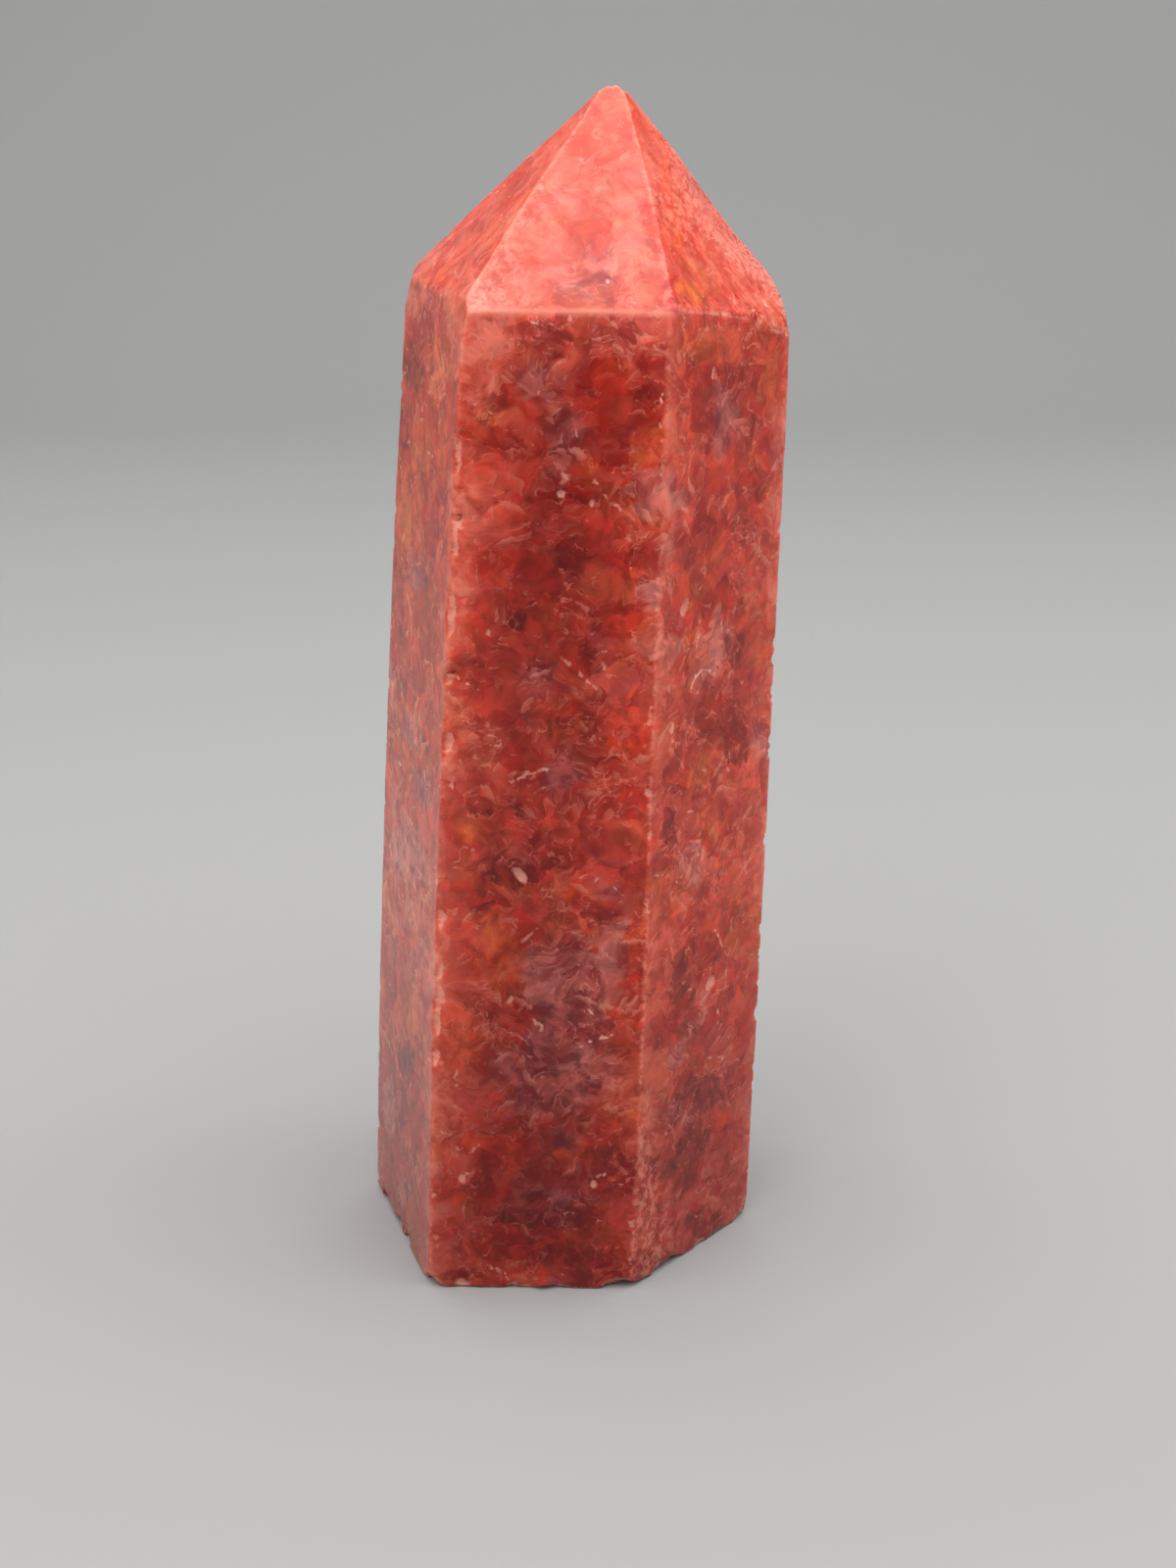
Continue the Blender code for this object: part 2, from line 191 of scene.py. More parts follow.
# Pale marks on the faces in view, a few of them painted glints: half width, strength, and the points of a line.
MARKS_AND_GLINTS = (
    (0.24, 1.00, (-7.27, -13.71, 84.37), (-6.74, -13.87, 84.24)),
    (0.20, 1.00, (-6.36, -14.07, 84.04), (-5.91, -14.13, 83.98)),
    (0.15, 0.80, (-5.77, -13.72, 84.44), (-6.01, -13.13, 85.11)),
    (0.11, 0.60, (-6.01, -13.13, 85.11), (-5.36, -12.24, 86.12)),
    (0.20, 1.00, (3.26, -12.35, 86.13), (3.26, -12.77, 85.66)),
    (0.11, 0.70, (-2.48, -14.28, 83.63), (-2.49, -14.29, 83.11), (-1.97, -14.3, 82.97), (-1.89, -14.29, 83.63)),
    (0.12, 0.70, (0.42, -14.33, 83.78), (0.72, -14.35, 83.27)),
    (0.22, 0.60, (1.61, -5.17, 94.19), (1.14, -4.86, 94.54)),
    (0.15, 0.90, (7.62, -14.57, 78.55), (7.71, -14.6, 76.91)),
    (0.10, 0.75, (7.5, -14.63, 75.4), (7.62, -14.69, 71.45)),
    (0.22, 1.00, (11.45, -10.08, 79.02), (11.54, -9.95, 78.32)),
    (0.20, 1.00, (2.29, -14.62, 70.82), (2.67, -14.62, 70.83)),
    (0.14, 0.70, (3.13, -14.65, 69.91), (3.67, -14.67, 69.22)),
    (0.15, 0.70, (4.05, -14.68, 69.14), (4.51, -14.7, 68.6)),
    (0.14, 0.70, (0.78, -14.51, 75), (1.16, -14.53, 74.32)),
    (0.15, 0.75, (-0.07, -14.56, 71.58), (0.62, -14.59, 70.51)),
    (0.15, 0.80, (-7.07, -14.33, 76.41), (-6.61, -14.33, 76.79)),
    (0.23, 0.95, (-8.36, -14.47, 67.62), (-7.75, -14.49, 67.31)),
    (0.19, 0.90, (-4.2, -14.96, 46.43), (-2.85, -14.98, 47.02), (-1.34, -14.99, 47.53)),
    (0.16, 0.85, (1.29, -14.9, 55.32), (2.62, -14.94, 54.11)),
    (0.20, 0.70, (-0.27, -14.84, 56.76), (0.59, -14.86, 56.44)),
    (0.31, 0.55, (3.16, -14.91, 56.38), (3.63, -14.94, 55.25)),
    (0.17, 0.80, (-8.95, -14.68, 56.15), (-8.5, -14.71, 55.18), (-7.73, -14.74, 54.46)),
    (0.10, 0.75, (-6.62, -14.85, 49.89), (-5.9, -14.85, 50.31), (-5.11, -14.87, 50.15), (-4.96, -14.88, 49.65), (-5.75, -14.87, 49.4), (-6.46, -14.86, 49.64)),
    (0.16, 0.75, (-9.63, -14.36, 46.98), (-8.98, -14.88, 45.98), (-8.65, -14.86, 46.98)),
    (0.17, 0.85, (-9.31, -14.8, 49.71), (-9.24, -14.82, 48.97)),
    (0.14, 0.95, (1.43, -15.23, 38.2), (1.83, -15.23, 38.54)),
    (0.16, 0.90, (-1.8, -15.19, 37.14), (-1.63, -15.19, 37.15)),
    (0.10, 0.60, (2.4, -15.25, 37.78), (3.04, -15.26, 38.12), (5.06, -15.33, 36.42), (4.34, -15.33, 35.9)),
    (0.15, 0.80, (-10.22, -14.06, 38.7), (-10.04, -14.82, 37.43)),
    (0.21, 0.85, (6.67, -15.36, 36.26), (6.76, -15.34, 35.3)),
    (0.18, 0.90, (10.14, -11.39, 53.41), (10.64, -10.8, 54.23), (11.06, -10.29, 54.59), (11.75, -9.44, 54.18)),
    (0.29, 0.70, (8.43, -13.47, 50.87), (8.78, -13.01, 48.89)),
    (0.27, 0.65, (6.63, -15.07, 51.36), (7.02, -15.06, 52.67)),
    (0.16, 1.00, (13.92, -6.46, 26.1), (13.76, -6.65, 25.16)),
    (0.16, 1.00, (13.17, -7.35, 22.47), (13.19, -7.31, 21.51)),
    (0.14, 0.60, (11.68, -9.13, 18.88), (12.63, -7.95, 16.98), (13.91, -6.38, 17.75), (11.86, -8.91, 18.87)),
    (0.15, 0.80, (-9.73, -15.48, 13.9), (-8.98, -15.5, 13.36), (-8.32, -15.52, 12.99), (-7.47, -15.52, 13.83)),
    (0.17, 0.85, (-8.85, -15.54, 11.41), (-8.26, -15.56, 11.13), (-8.69, -15.56, 10.75)),
    (0.15, 0.90, (2.67, -15.78, 10.87), (3, -15.77, 11.34), (3.26, -15.78, 11.06)),
    (0.14, 0.70, (4.18, -15.81, 10.7), (4.6, -15.82, 10.33)),
    (0.15, 0.60, (-0.37, -15.78, 7.46), (0.05, -15.8, 6.9), (0.65, -15.8, 7.57), (-0.28, -15.78, 7.56)),
    (0.16, 0.85, (-7.84, -15.68, 5.49), (-7.34, -15.69, 5.4)),
    (0.13, 0.95, (-6.7, -15.76, 2.26), (-5.93, -15.78, 1.98), (-5.34, -15.8, 1.7), (-5.01, -15.82, 0.93), (-4.59, -15.84, 0.07)),
    (0.21, 0.80, (-11.33, -15.62, 5.16), (-11.19, -15.64, 4.02)),
    (0.24, 0.70, (5.57, -15.98, 2.97), (5.99, -15.8, 4.02)),
    (0.26, 0.70, (5.72, -15.91, 6.68), (6.07, -15.76, 5.06)),
    (0.25, 0.50, (6.92, -14.94, 17.26), (6.51, -15.43, 15.47)),
    (0.11, 0.60, (-5.07, -15.07, 39.94), (-4.52, -15.09, 39.26)),
    (0.26, 0.45, (-3.53, -15.24, 32.37), (-2.3, -15.24, 33.6)),
    (0.12, 0.75, (1.09, -15.51, 23.03), (2.41, -15.53, 23.49), (3.72, -15.54, 24.13)),
    (0.15, 0.80, (-2.61, -15.4, 25.33), (-1.95, -15.42, 24.97), (-2.28, -15.42, 24.44)),
    (0.18, 0.80, (1.91, -15.46, 26.43), (2.32, -15.48, 26.08)),
    (0.20, 0.60, (-9.27, -15.35, 20.95), (-9.13, -15.39, 19.14)),
    (0.25, 0.80, (-11.25, -14.06, 21.24), (-10.5, -15.32, 21.49)),
    (0.13, 0.60, (-4.67, -15.37, 24.41), (-3.2, -15.42, 23.53), (-2.63, -15.44, 22.82)),
    (0.36, 0.45, (10.43, -11.08, 56.79), (10.83, -10.61, 58.15)),
    (0.15, 0.80, (13.14, -7.63, 45.44), (13.7, -6.94, 44.51)),
    (0.15, 0.80, (9.88, -11.59, 42.63), (10.32, -11.06, 42.44)),
    (0.13, 0.60, (9.25, -12.34, 39.44), (10.21, -11.14, 38.12), (11.08, -10.08, 38.25)),
    (0.15, 0.60, (7.07, -15, 38.28), (8.67, -13.02, 37.52), (9.28, -12.26, 36.62)),
    (0.17, 0.60, (12.63, -8.09, 30.93), (13.21, -7.37, 29.26), (13.69, -6.77, 28.27), (13.9, -6.49, 26.86)),
    (0.31, 0.50, (8.97, -12.4, 13.9), (8.36, -13.14, 13.34)),
    (0.20, 0.70, (14.62, -5.35, 2.68), (16.09, -3.54, 2.28)),
    (0.14, 0.50, (12.05, -8.5, 3.05), (12.93, -7.4, 1.23)),
    (0.13, 0.60, (10.3, -10.91, 26.66), (10.85, -10.22, 25.34)),
    (0.22, 0.60, (7.25, -14.45, 9.48), (7.44, -14.22, 8.59)),
    (0.17, 0.60, (-10.71, -15.44, 15.19), (-10.13, -15.46, 14.73)),
    (0.14, 0.70, (-13.68, -1.76, 50.61), (-13.48, -2.5, 49.77)),
    (0.19, 0.90, (-14.23, -1.34, 43.64), (-13.79, -2.62, 43.79)),
    (0.12, 0.70, (-13.21, -6.41, 31.8), (-12.58, -8.4, 31.15)),
    (0.13, 0.60, (-15.97, 0.11, 22.48), (-15.16, -2.34, 22.21)),
    (0.14, 0.60, (-15.95, -0.92, 16.91), (-15.27, -3.11, 15.99), (-14.59, -5.23, 15.27)),
    (0.13, 0.75, (-12.88, -11.1, 10.54), (-11.94, -14.17, 8.95)),
    (0.16, 0.80, (-10.78, -6.65, 71.67), (-10.1, -8.66, 71.72)),
    (0.20, 0.80, (16.65, -0.91, 83.19), (17.36, -0.21, 82.47)),
)

# ------------------------------------------------------------------ fineness
STEP = 0.21             # spacing of the mesh along the arrises
BANDS = (0.45, 1e9, 1e9)  # where the spacing doubles, by distance from an arris
FOOT_BANDS = (0.45, 1.1, 2.4)
SWELL = (  # how far each long side is crowned at mid height, and stands out at the top
    ("side_left", 0.50, 0.04), ("side_left_back", 0.45, 0.04), ("side_front", 0.20, 0.0),
    ("side_right_front", 0.22, 0.22), ("side_right_back", 0.20, 0.22), ("side_back", 0.24, 0.0),
)
SHOULDER_FILL = (  # and how far the upper faces stand out, by height
    ("point_left", (84.0, 89.0, 92.0, 98.0), (0.20, 0.22, 0.22, 0.0)),
    ("point_left_back", (84.0, 89.0, 92.0, 98.0), (0.20, 0.22, 0.22, 0.0)),
    ("shoulder_right_arris", (83.4, 84.7, 85.2, 85.8, 86.6, 87.7, 89.0, 92.0, 98.0), (0.85, 0.52, 0.32, 0.20, 0.12, -0.13, -0.28, -0.28, 0.0)),
    ("shoulder_right", (84.0, 90.0), (0.75, 0.75)),
    ("point_right_front_lower", (81.2, 82.3, 83.2, 84.3), (0.0, 0.26, 0.20, 0.0)),
)
SHOULDER_Z = 84.0

rng = np.random.default_rng(6817)


def direction(azimuth, rise):
    a, r = math.radians(azimuth), math.radians(rise)
    return np.array([math.cos(r) * math.cos(a), math.cos(r) * math.sin(a), math.sin(r)])


def ground_planes():
    """Names, outward normals and distances of every ground plane."""
    rows = [("foot", np.array([0.0, 0.0, -1.0]), 0.0)]
    for name, azimuth, lean, reach in SIDES:
        rows.append((name, direction(azimuth, lean), reach * math.cos(math.radians(lean))))
    for name, azimuth, rise, standoff in POINT_FACES:
        n = direction(azimuth, rise)
        rows.append((name, n, float(n @ TIP) + standoff))
    for name, azimuth, rise, distance in CORNERS:
        rows.append((name, direction(azimuth, rise), distance))
    return [r[0] for r in rows], np.array([r[1] for r in rows]), np.array([r[2] for r in rows])


names, normals, dists = ground_planes()
FOOT = names.index("foot")
side_rows = [names.index(s[0]) for s in SIDES]


# --------------------------------------------------------------------- noise
class Noise:
    """Gradient noise on an integer lattice, about -1 to 1."""

    def __init__(self, seed):
        r = np.random.default_rng(seed)
        self.perm = np.concatenate([r.permutation(512)] * 3)
        g = r.normal(size=(512, 3))
        self.grad = g / np.linalg.norm(g, axis=1)[:, None]

    def __call__(self, p):
        i = np.floor(p).astype(np.int64)
        f = p - i
        u = f * f * f * (f * (f * 6 - 15) + 10)
        i &= 511
        out = np.zeros(len(p))
        for dx in (0, 1):
            for dy in (0, 1):
                for dz in (0, 1):
                    h = self.perm[self.perm[self.perm[(i[:, 0] + dx) & 511] + ((i[:, 1] + dy) & 511)]
                                  + ((i[:, 2] + dz) & 511)] & 511
                    g = self.grad[h]
                    d = ((f[:, 0] - dx) * g[:, 0] + (f[:, 1] - dy) * g[:, 1] + (f[:, 2] - dz) * g[:, 2])
                    w = ((u[:, 0] if dx else 1 - u[:, 0]) * (u[:, 1] if dy else 1 - u[:, 1])
                         * (u[:, 2] if dz else 1 - u[:, 2]))
                    out += w * d
        return out * 1.5

    def layers(self, p, count, gain=0.5):
        out, a, s = np.zeros(len(p)), 1.0, 1.0
        for _ in range(count):
            out += a * self(p * s + 17.3 * s)
            a *= gain
            s *= 2.03
        return out


noise_a, noise_b, noise_c = Noise(11), Noise(23), Noise(37)


# ------------------------------------------------------------ the ground solid
def ground_faces(normals, dists):
    """Each plane's polygon on the solid, as points in order about its normal."""
    polys = []
    for i, (n, d) in enumerate(zip(normals, dists)):
        a = np.cross(n, [0.31, 0.52, 0.79])
        a /= np.linalg.norm(a)
        b = np.cross(n, a)
        poly = [n * d + 400 * (sx * a + sy * b) for sx, sy in ((-1, -1), (1, -1), (1, 1), (-1, 1))]
        for j, (m, e) in enumerate(zip(normals, dists)):
            if j == i or not poly:
                continue
            out = []
            s = [float(m @ q) - e for q in poly]
            for k in range(len(poly)):
                q0, q1, s0, s1 = poly[k - 1], poly[k], s[k - 1], s[k]
                if (s0 <= 0) != (s1 <= 0):
                    out.append(q0 + (q1 - q0) * (s0 / (s0 - s1)))
                if s1 <= 0:
                    out.append(q1)
            poly = out
        polys.append(poly)
    return polys


def weld(polys, tol=0.03):
    points, loops = [], []
    for poly in polys:
        loop = []
        for q in poly:
            for k, r in enumerate(points):
                if np.linalg.norm(r - q) < tol:
                    break
            else:
                k = len(points)
                points.append(q)
            if not loop or loop[-1] != k:
                loop.append(k)
        if len(loop) > 1 and loop[0] == loop[-1]:
            loop.pop()
        loops.append(loop if len(loop) >= 3 else [])
    return np.array(points), loops


def line_gap(x, line):
    """Distance of each point from a line of short straights."""
    out = np.full(len(x), 1e9)
    for p, q in zip(line[:-1], line[1:]):
        d = q - p
        t = np.clip((x - p) @ d / max(d @ d, 1e-9), 0, 1)
        out = np.minimum(out, np.linalg.norm(x - p - t[:, None] * d, axis=1))
    return out


def fine_mesh(points, loops, normals, pits):
    """Triangles over every face: close-set along its rim and round the pits."""
    verts, face_of, tris = list(points), [], []
    rim = {}

    def rim_points(a, b):
        key = (min(a, b), max(a, b))
        if key not in rim:
            p, q = points[key[0]], points[key[1]]
            count = max(1, round(float(np.linalg.norm(q - p)) / STEP))
            ids = [key[0]]
            for k in range(1, count):
                ids.append(len(verts))
                verts.append(p + (q - p) * (k / count))
            ids.append(key[1])
            rim[key] = ids
        ids = rim[key]
        return ids if a == key[0] else ids[::-1]

    for f, loop in enumerate(loops):
        if not loop:
            continue
        n = normals[f]
        o = points[loop].mean(0)
        a = points[loop[1]] - points[loop[0]]
        a /= np.linalg.norm(a)
        b = np.cross(n, a)
        border = []
        for k in range(len(loop)):
            border += rim_points(loop[k], loop[(k + 1) % len(loop)])[:-1]
        corners = np.array([[(points[k] - o) @ a, (points[k] - o) @ b] for k in loop])
        lo, hi = corners.min(0), corners.max(0)
        half = STEP / 2
        rows = np.arange(math.floor(lo[1] / (half * 0.866)), math.ceil(hi[1] / (half * 0.866)) + 1)
        cols = np.arange(math.floor(lo[0] / half) - len(rows), math.ceil(hi[0] / half) + len(rows) + 1)
        ii, jj = np.meshgrid(cols, rows)
        ii, jj = ii.ravel(), jj.ravel()
        xy = np.c_[half * (ii + jj * 0.5), half * 0.866 * jj]
        boxed = (xy[:, 0] > lo[0]) & (xy[:, 0] < hi[0])
        ii, jj, xy = ii[boxed], jj[boxed], xy[boxed]
        gap = np.full(len(xy), 1e9)
        for k in range(len(corners)):
            p, q = corners[k], corners[(k + 1) % len(corners)]
            t = (q - p) / np.linalg.norm(q - p)
            inward = np.array([-t[1], t[0]])
            if (corners.mean(0) - p) @ inward < 0:
                inward = -inward
            gap = np.minimum(gap, (xy - p) @ inward)
        near = gap.copy()
        for c, r in pits.get(f, ()):
            pc = np.array([(c - o) @ a, (c - o) @ b])
            near = np.minimum(near, np.linalg.norm(xy - pc, axis=1) - r)
        level = np.ones(len(xy), int)
        for k, w in enumerate(FOOT_BANDS if f == FOOT else BANDS):
            level[near > w] = k + 2
        for r, _, *line in MARKS_AND_GLINTS:
            line = np.array(line)
            if np.abs(line @ n - dists[f]).max() > 0.3:
                continue
            flat_line = np.c_[(line - o) @ a, (line - o) @ b]
            around = np.flatnonzero((np.abs(xy - flat_line.mean(0)) < np.ptp(flat_line, axis=0) / 2 + r + 0.3).all(1))
            level[around[line_gap(xy[around], flat_line) < r + 0.08]] = 0
        keep = gap > STEP * 0.55
        for k in (1, 2, 3, 4):
            m = 2 ** k
            keep &= ~((level >= k) & ((ii % m != 0) | (jj % m != 0)))
        inner = xy[keep]
        ids = list(border)
        base = len(verts)
        verts.extend(o + inner[:, :1] * a + inner[:, 1:] * b)
        ids += list(range(base, base + len(inner)))
        flat = [((verts[k] - o) @ a, (verts[k] - o) @ b) for k in border] + [tuple(v) for v in inner]
        nb = len(border)
        edges = [(k, (k + 1) % nb) for k in range(nb)]
        _, _, faces, orig, _, _ = delaunay_2d_cdt(flat, edges, [], 0, 1e-7, True)
        back = [o_[0] if len(o_) else -1 for o_ in orig]
        for t in faces:
            t = [back[k] for k in t]
            if min(t) < 0:
                continue
            q = [flat[k] for k in t]
            area = (q[1][0] - q[0][0]) * (q[2][1] - q[0][1]) - (q[1][1] - q[0][1]) * (q[2][0] - q[0][0])
            if abs(area) < 1e-7:
                continue
            if area < 0:
                t = t[::-1]
            tris.append([ids[k] for k in t])
            face_of.append(f)
    return np.array(verts), np.array(tris), np.array(face_of)


# ------------------------------------------------------------------ the wear


def plane_values(x):
    """Height of each point over each ground plane, with the polish's swell."""
    g = x @ normals.T - dists
    t = np.clip(x[:, 2] / SHOULDER_Z, 0, 1)
    bow = 4 * t * (1 - t)
    high = np.clip((x[:, 2] - 48) / 30, 0, 1)
    high = high * high * (3 - 2 * high)
    for name, crown, top in SWELL:
        g[:, names.index(name)] -= crown * bow + top * high
    for name, heights, fills in SHOULDER_FILL:
        g[:, names.index(name)] -= np.interp(x[:, 2], heights, fills)
    wave = 0.030 * noise_a(x / 13.0) + 0.007 * noise_b(x / 2.6)
    g -= (wave * np.clip(x[:, 2] / 2.0, 0, 1))[:, None]
    g[:, FOOT] = -x[:, 2]
    return g


def worn(x):
    """The eased solid: how far a point stands outside it."""
    g = plane_values(x)
    low = np.clip(1 - x[:, 2] / 3.0, 0, 1)
    tip = np.clip((x[:, 2] - 97.5) / 2.0, 0, 1)
    right = np.clip(1 - np.hypot(x[:, 0] - 8.2, x[:, 1] + 15.2) / 5.0, 0, 1) * (x[:, 2] < 84)
    rho = 0.040 + 0.070 * np.clip(0.5 + 0.7 * noise_c(x / 2.2), 0, 1) ** 2 + 0.05 * low + 0.07 * right
    rho = rho * (1 - 0.6 * tip)
    m = g.max(1)
    return m + rho * np.log(np.exp(np.maximum((g - m[:, None]) / rho[:, None], -40)).sum(1)), g


def arrises(points, loops):
    """Every crease of the ground solid: its ends and its two faces."""
    seen = {}
    for f, loop in enumerate(loops):
        for k in range(len(loop)):
            key = tuple(sorted((loop[k], loop[(k + 1) % len(loop)])))
            seen.setdefault(key, []).append(f)
    out = []
    for (a, b), fs in seen.items():
        if len(fs) == 2:
            turn = math.degrees(math.acos(float(np.clip(normals[fs[0]] @ normals[fs[1]], -1, 1))))
            out.append((points[a], points[b], fs[0], fs[1], turn))
    return out


class Chips:
    """Small shells broken out of the stone, as ellipsoids to be cut away."""

    def __init__(self):
        self.rows = []

    def add(self, at, out, along, depth, radius, stretch):
        centre = at + out * (radius - depth)
        self.rows.append((centre, at, along, radius, depth, stretch))

    def along(self, p, q, n1, n2, per_mm, depth, radius, gather=0.0, lean=0.45, power=2.2, seed=0, long=(0.45, 0.5)):
        length = float(np.linalg.norm(q - p))
        t = (q - p) / length
        count = rng.poisson(per_mm * length)
        for s in np.sort(rng.random(count)) * length:
            at = p + t * s
            if gather:
                crowd = float(noise_b(((at + 31.7 * (seed + 1)) / 4.5)[None])[0])
                if crowd < gather - 0.5:
                    continue
            w = np.clip(0.5 + lean * rng.normal(), 0.02, 0.98)
            out = n1 * w + n2 * (1 - w)
            out /= np.linalg.norm(out)
            u = rng.random() ** power
            d = depth[0] + (depth[1] - depth[0]) * u
            r = radius[0] + (radius[1] - radius[0]) * (0.35 * rng.random() + 0.65 * u)
            tilt = t + 0.35 * rng.normal(size=3)
            tilt /= np.linalg.norm(tilt)
            out = out + 0.18 * rng.normal(size=3)
            out /= np.linalg.norm(out)
            self.add(at, out, tilt, d, max(r, d * 1.15), long[0] + long[1] * rng.random())


points, loops = weld(ground_faces(normals, dists))
creases = arrises(points, loops)
chips = Chips()
# the very tip: its two ends are knocked back, with a small nick between them
chips.add(np.array([3.05, -0.1, 99.85]), direction(-170, 55), np.array([0.0, 1.0, 0.0]), 0.20, 0.9, 0.6)
chips.add(np.array([4.70, -0.1, 99.70]), direction(-10, 50), np.array([0.0, 1.0, 0.0]), 0.16, 0.8, 0.6)
chips.add(np.array([3.75, -0.3, 99.86]), direction(-90, 70), np.array([0.0, 1.0, 0.0]), 0.10, 0.28, 0.6)
for k, (p, q, f1, f2, turn) in enumerate(creases):
    if turn < 6:
        continue
    n1, n2 = normals[f1], normals[f2]
    pair = {names[f1], names[f2]}
    upright = f1 in side_rows and f2 in side_rows
    if FOOT in (f1, f2):
        chips.along(p, q, n1, n2, 1.9, (0.04, 0.30), (0.5, 2.0), 0.25, 0.30, 2.4, k)
        chips.along(p, q, n1, n2, 0.13, (0.25, 0.60), (1.2, 3.2), 0.0, 0.22, 1.6, k)
    elif pair == {"side_left", "side_front"}:
        chips.along(p, q, n1, n2, 0.42, (0.02, 0.08), (0.20, 0.50), 0.40, 0.30, 2.4, k, (0.22, 0.30))
        chips.along(p, q, n1, n2, 0.05, (0.07, 0.13), (0.30, 0.6), 0.0, 0.25, 1.4, k, (0.30, 0.40))
    elif pair == {"side_front", "side_right_front"}:
        chips.along(p, q, n1, n2, 0.10, (0.02, 0.07), (0.20, 0.50), 0.0, 0.30, 2.2, k)
    elif upright:
        chips.along(p, q, n1, n2, 0.30, (0.02, 0.09), (0.20, 0.60), 0.30, 0.30, 2.6, k)
        chips.along(p, q, n1, n2, 0.03, (0.08, 0.15), (0.35, 0.9), 0.0, 0.25, 1.4, k)
    else:
        chips.along(p, q, n1, n2, 0.35, (0.015, 0.06), (0.18, 0.50), 0.30, 0.30, 2.6, k)

# pits that the polish left open: a few are in plain view on the front faces
pit_at = {}
pit_rows = []


def pit(face, at, radius, depth, along=(0, 0, 1), stretch=0.7):
    f = names.index(face)
    n = normals[f]
    at = at - n * (n @ at - dists[f])
    along = np.array(along, float) - n * (n @ np.array(along, float))
    along /= np.linalg.norm(along)
    r = (radius * radius + depth * depth) / (2 * depth)
    pit_rows.append((at + n * (r - depth), at, along, r, depth, stretch))
    pit_at.setdefault(f, []).append((at, radius * 1.3))


for face, x, z, radius, depth in (
        ("point_front", 3.4, 86.0, 0.24, 0.10), ("side_front", 2.2, 69.2, 0.20, 0.08),
        ("side_right_front", 11.8, 78.6, 0.20, 0.09), ("side_front", -8.9, 10.6, 0.30, 0.12),
        ("side_front", 2.4, 10.2, 0.28, 0.10), ("side_right_front", 10.9, 58.9, 0.22, 0.09)):
    f = names.index(face)
    n = normals[f]
    y = (dists[f] - n[0] * x - n[2] * z) / n[1]
    pit(face, np.array([x, y, z]), radius, depth)
for name, _, _, _ in SIDES:
    f = names.index(name)
    loop = points[loops[f]]
    lo, hi = loop.min(0), loop.max(0)
    for _ in range(0 if name == "side_left" else 5):
        w = rng.dirichlet(np.ones(len(loop)) * 0.8)
        at = w @ loop
        pit(name, at, 0.14 + 0.16 * rng.random() ** 2, 0.04 + 0.05 * rng.random(), rng.normal(size=3), 0.5 + 0.4 * rng.random())

x0, tris, face_of = fine_mesh(points, loops, normals, pit_at)
print("fine mesh:", len(x0), "points", len(tris), "triangles")

# each point is moved only in or out along one direction of its own
g0 = x0 @ normals.T - dists
w = np.exp(np.maximum(g0 / 0.10, -40))
outward = w @ normals
outward /= np.linalg.norm(outward, axis=1)[:, None]

tree = kdtree.KDTree(len(x0))
for k, p in enumerate(x0):
    tree.insert(p, k)
tree.balance()
cuts = []
for centre, at, along, radius, depth, stretch in chips.rows + pit_rows:
    reach = math.sqrt(2 * radius * depth) / min(stretch, 1.0) + 0.35
    near = [k for _, k, _ in tree.find_range(at, reach)]
    if near:
        cuts.append((np.array(near), centre, along, radius, depth, stretch))

# a small knob of stone that hangs at the front rim of the foot
knob = np.array([-1.75, -16.05, 0.42])
KNOB_R = 0.52
near_knob = np.array([k for _, k, _ in tree.find_range(knob, 1.6)])

x = x0.copy()
for step in range(14):
    f, _ = worn(x)
    if len(near_knob):
        d = np.linalg.norm((x[near_knob] - knob) * [0.75, 1, 1], axis=1) - KNOB_R
        h = np.clip(0.5 + 0.5 * (f[near_knob] - d) / 0.25, 0, 1)
        f[near_knob] = f[near_knob] * (1 - h) + d * h - 0.25 * h * (1 - h)
    shape = noise_c(x / 0.42) * 0.6 + noise_b(x / 0.95) * 0.8
    for near, centre, along, radius, depth, stretch in cuts:
        v = x[near] - centre
        t = v @ along
        r = np.sqrt(np.maximum((v * v).sum(1) - t * t * (1 - stretch * stretch), 0))
        s = radius - r + shape[near] * depth * 0.22
        f[near] = np.maximum(f[near], s)
    x -= outward * np.clip(f, -0.5, 0.5)[:, None] * 0.9
    x[:, 2] = np.maximum(x[:, 2], 0.0)

smooth_f, g = worn(x)
broken = np.clip(-smooth_f, 0, None)
order = np.sort(g, axis=1)
arris_gap = np.clip(-order[:, -2], 0, 10)
hollow = np.clip(broken / 0.15, 0, 1)


def face_axes(n):
    u = np.cross([0.0, 0.0, 1.0], n)
    u = u / np.linalg.norm(u) if np.linalg.norm(u) > 1e-6 else np.array([1.0, 0.0, 0.0])
    return u, np.cross(n, u)


def all_grains():
    """The grains in view, and like ones strewn over the hidden faces."""
    out = []
    for face, rows in GRAINS.items():
        for kind, gx, gy, gz, long, short, tilt in rows:
            out.append((KINDS.index(kind), names.index(face), np.array([gx, gy, gz]), long, short, tilt))
    strew = np.random.default_rng(409)
    for f, loop in enumerate(loops):
        if not loop or names[f] in GRAINS:
            continue
        corners = points[loop]
        o = corners[0]
        parts = [np.cross(corners[k] - o, corners[k + 1] - o) / 2 for k in range(1, len(corners) - 1)]
        areas = np.array([np.linalg.norm(q) for q in parts])
        for _ in range(strew.poisson(areas.sum() / 24.0)):
            k = strew.choice(len(areas), p=areas / areas.sum()) + 1
            a, b = strew.random(2)
            if a + b > 1:
                a, b = 1 - a, 1 - b
            at = o + a * (corners[k] - o) + b * (corners[k + 1] - o)
            size = 1.0 + 1.9 * strew.random() ** 1.4
            kind = strew.choice(len(KINDS), p=HIDDEN_SHARES)
            size *= 1.35 if kind >= 4 else 1.0
            out.append((kind, f, at, size, size * (0.42 + 0.5 * strew.random()), strew.choice((0, 90, -35, 20)) + 20 * strew.normal()))
    return out


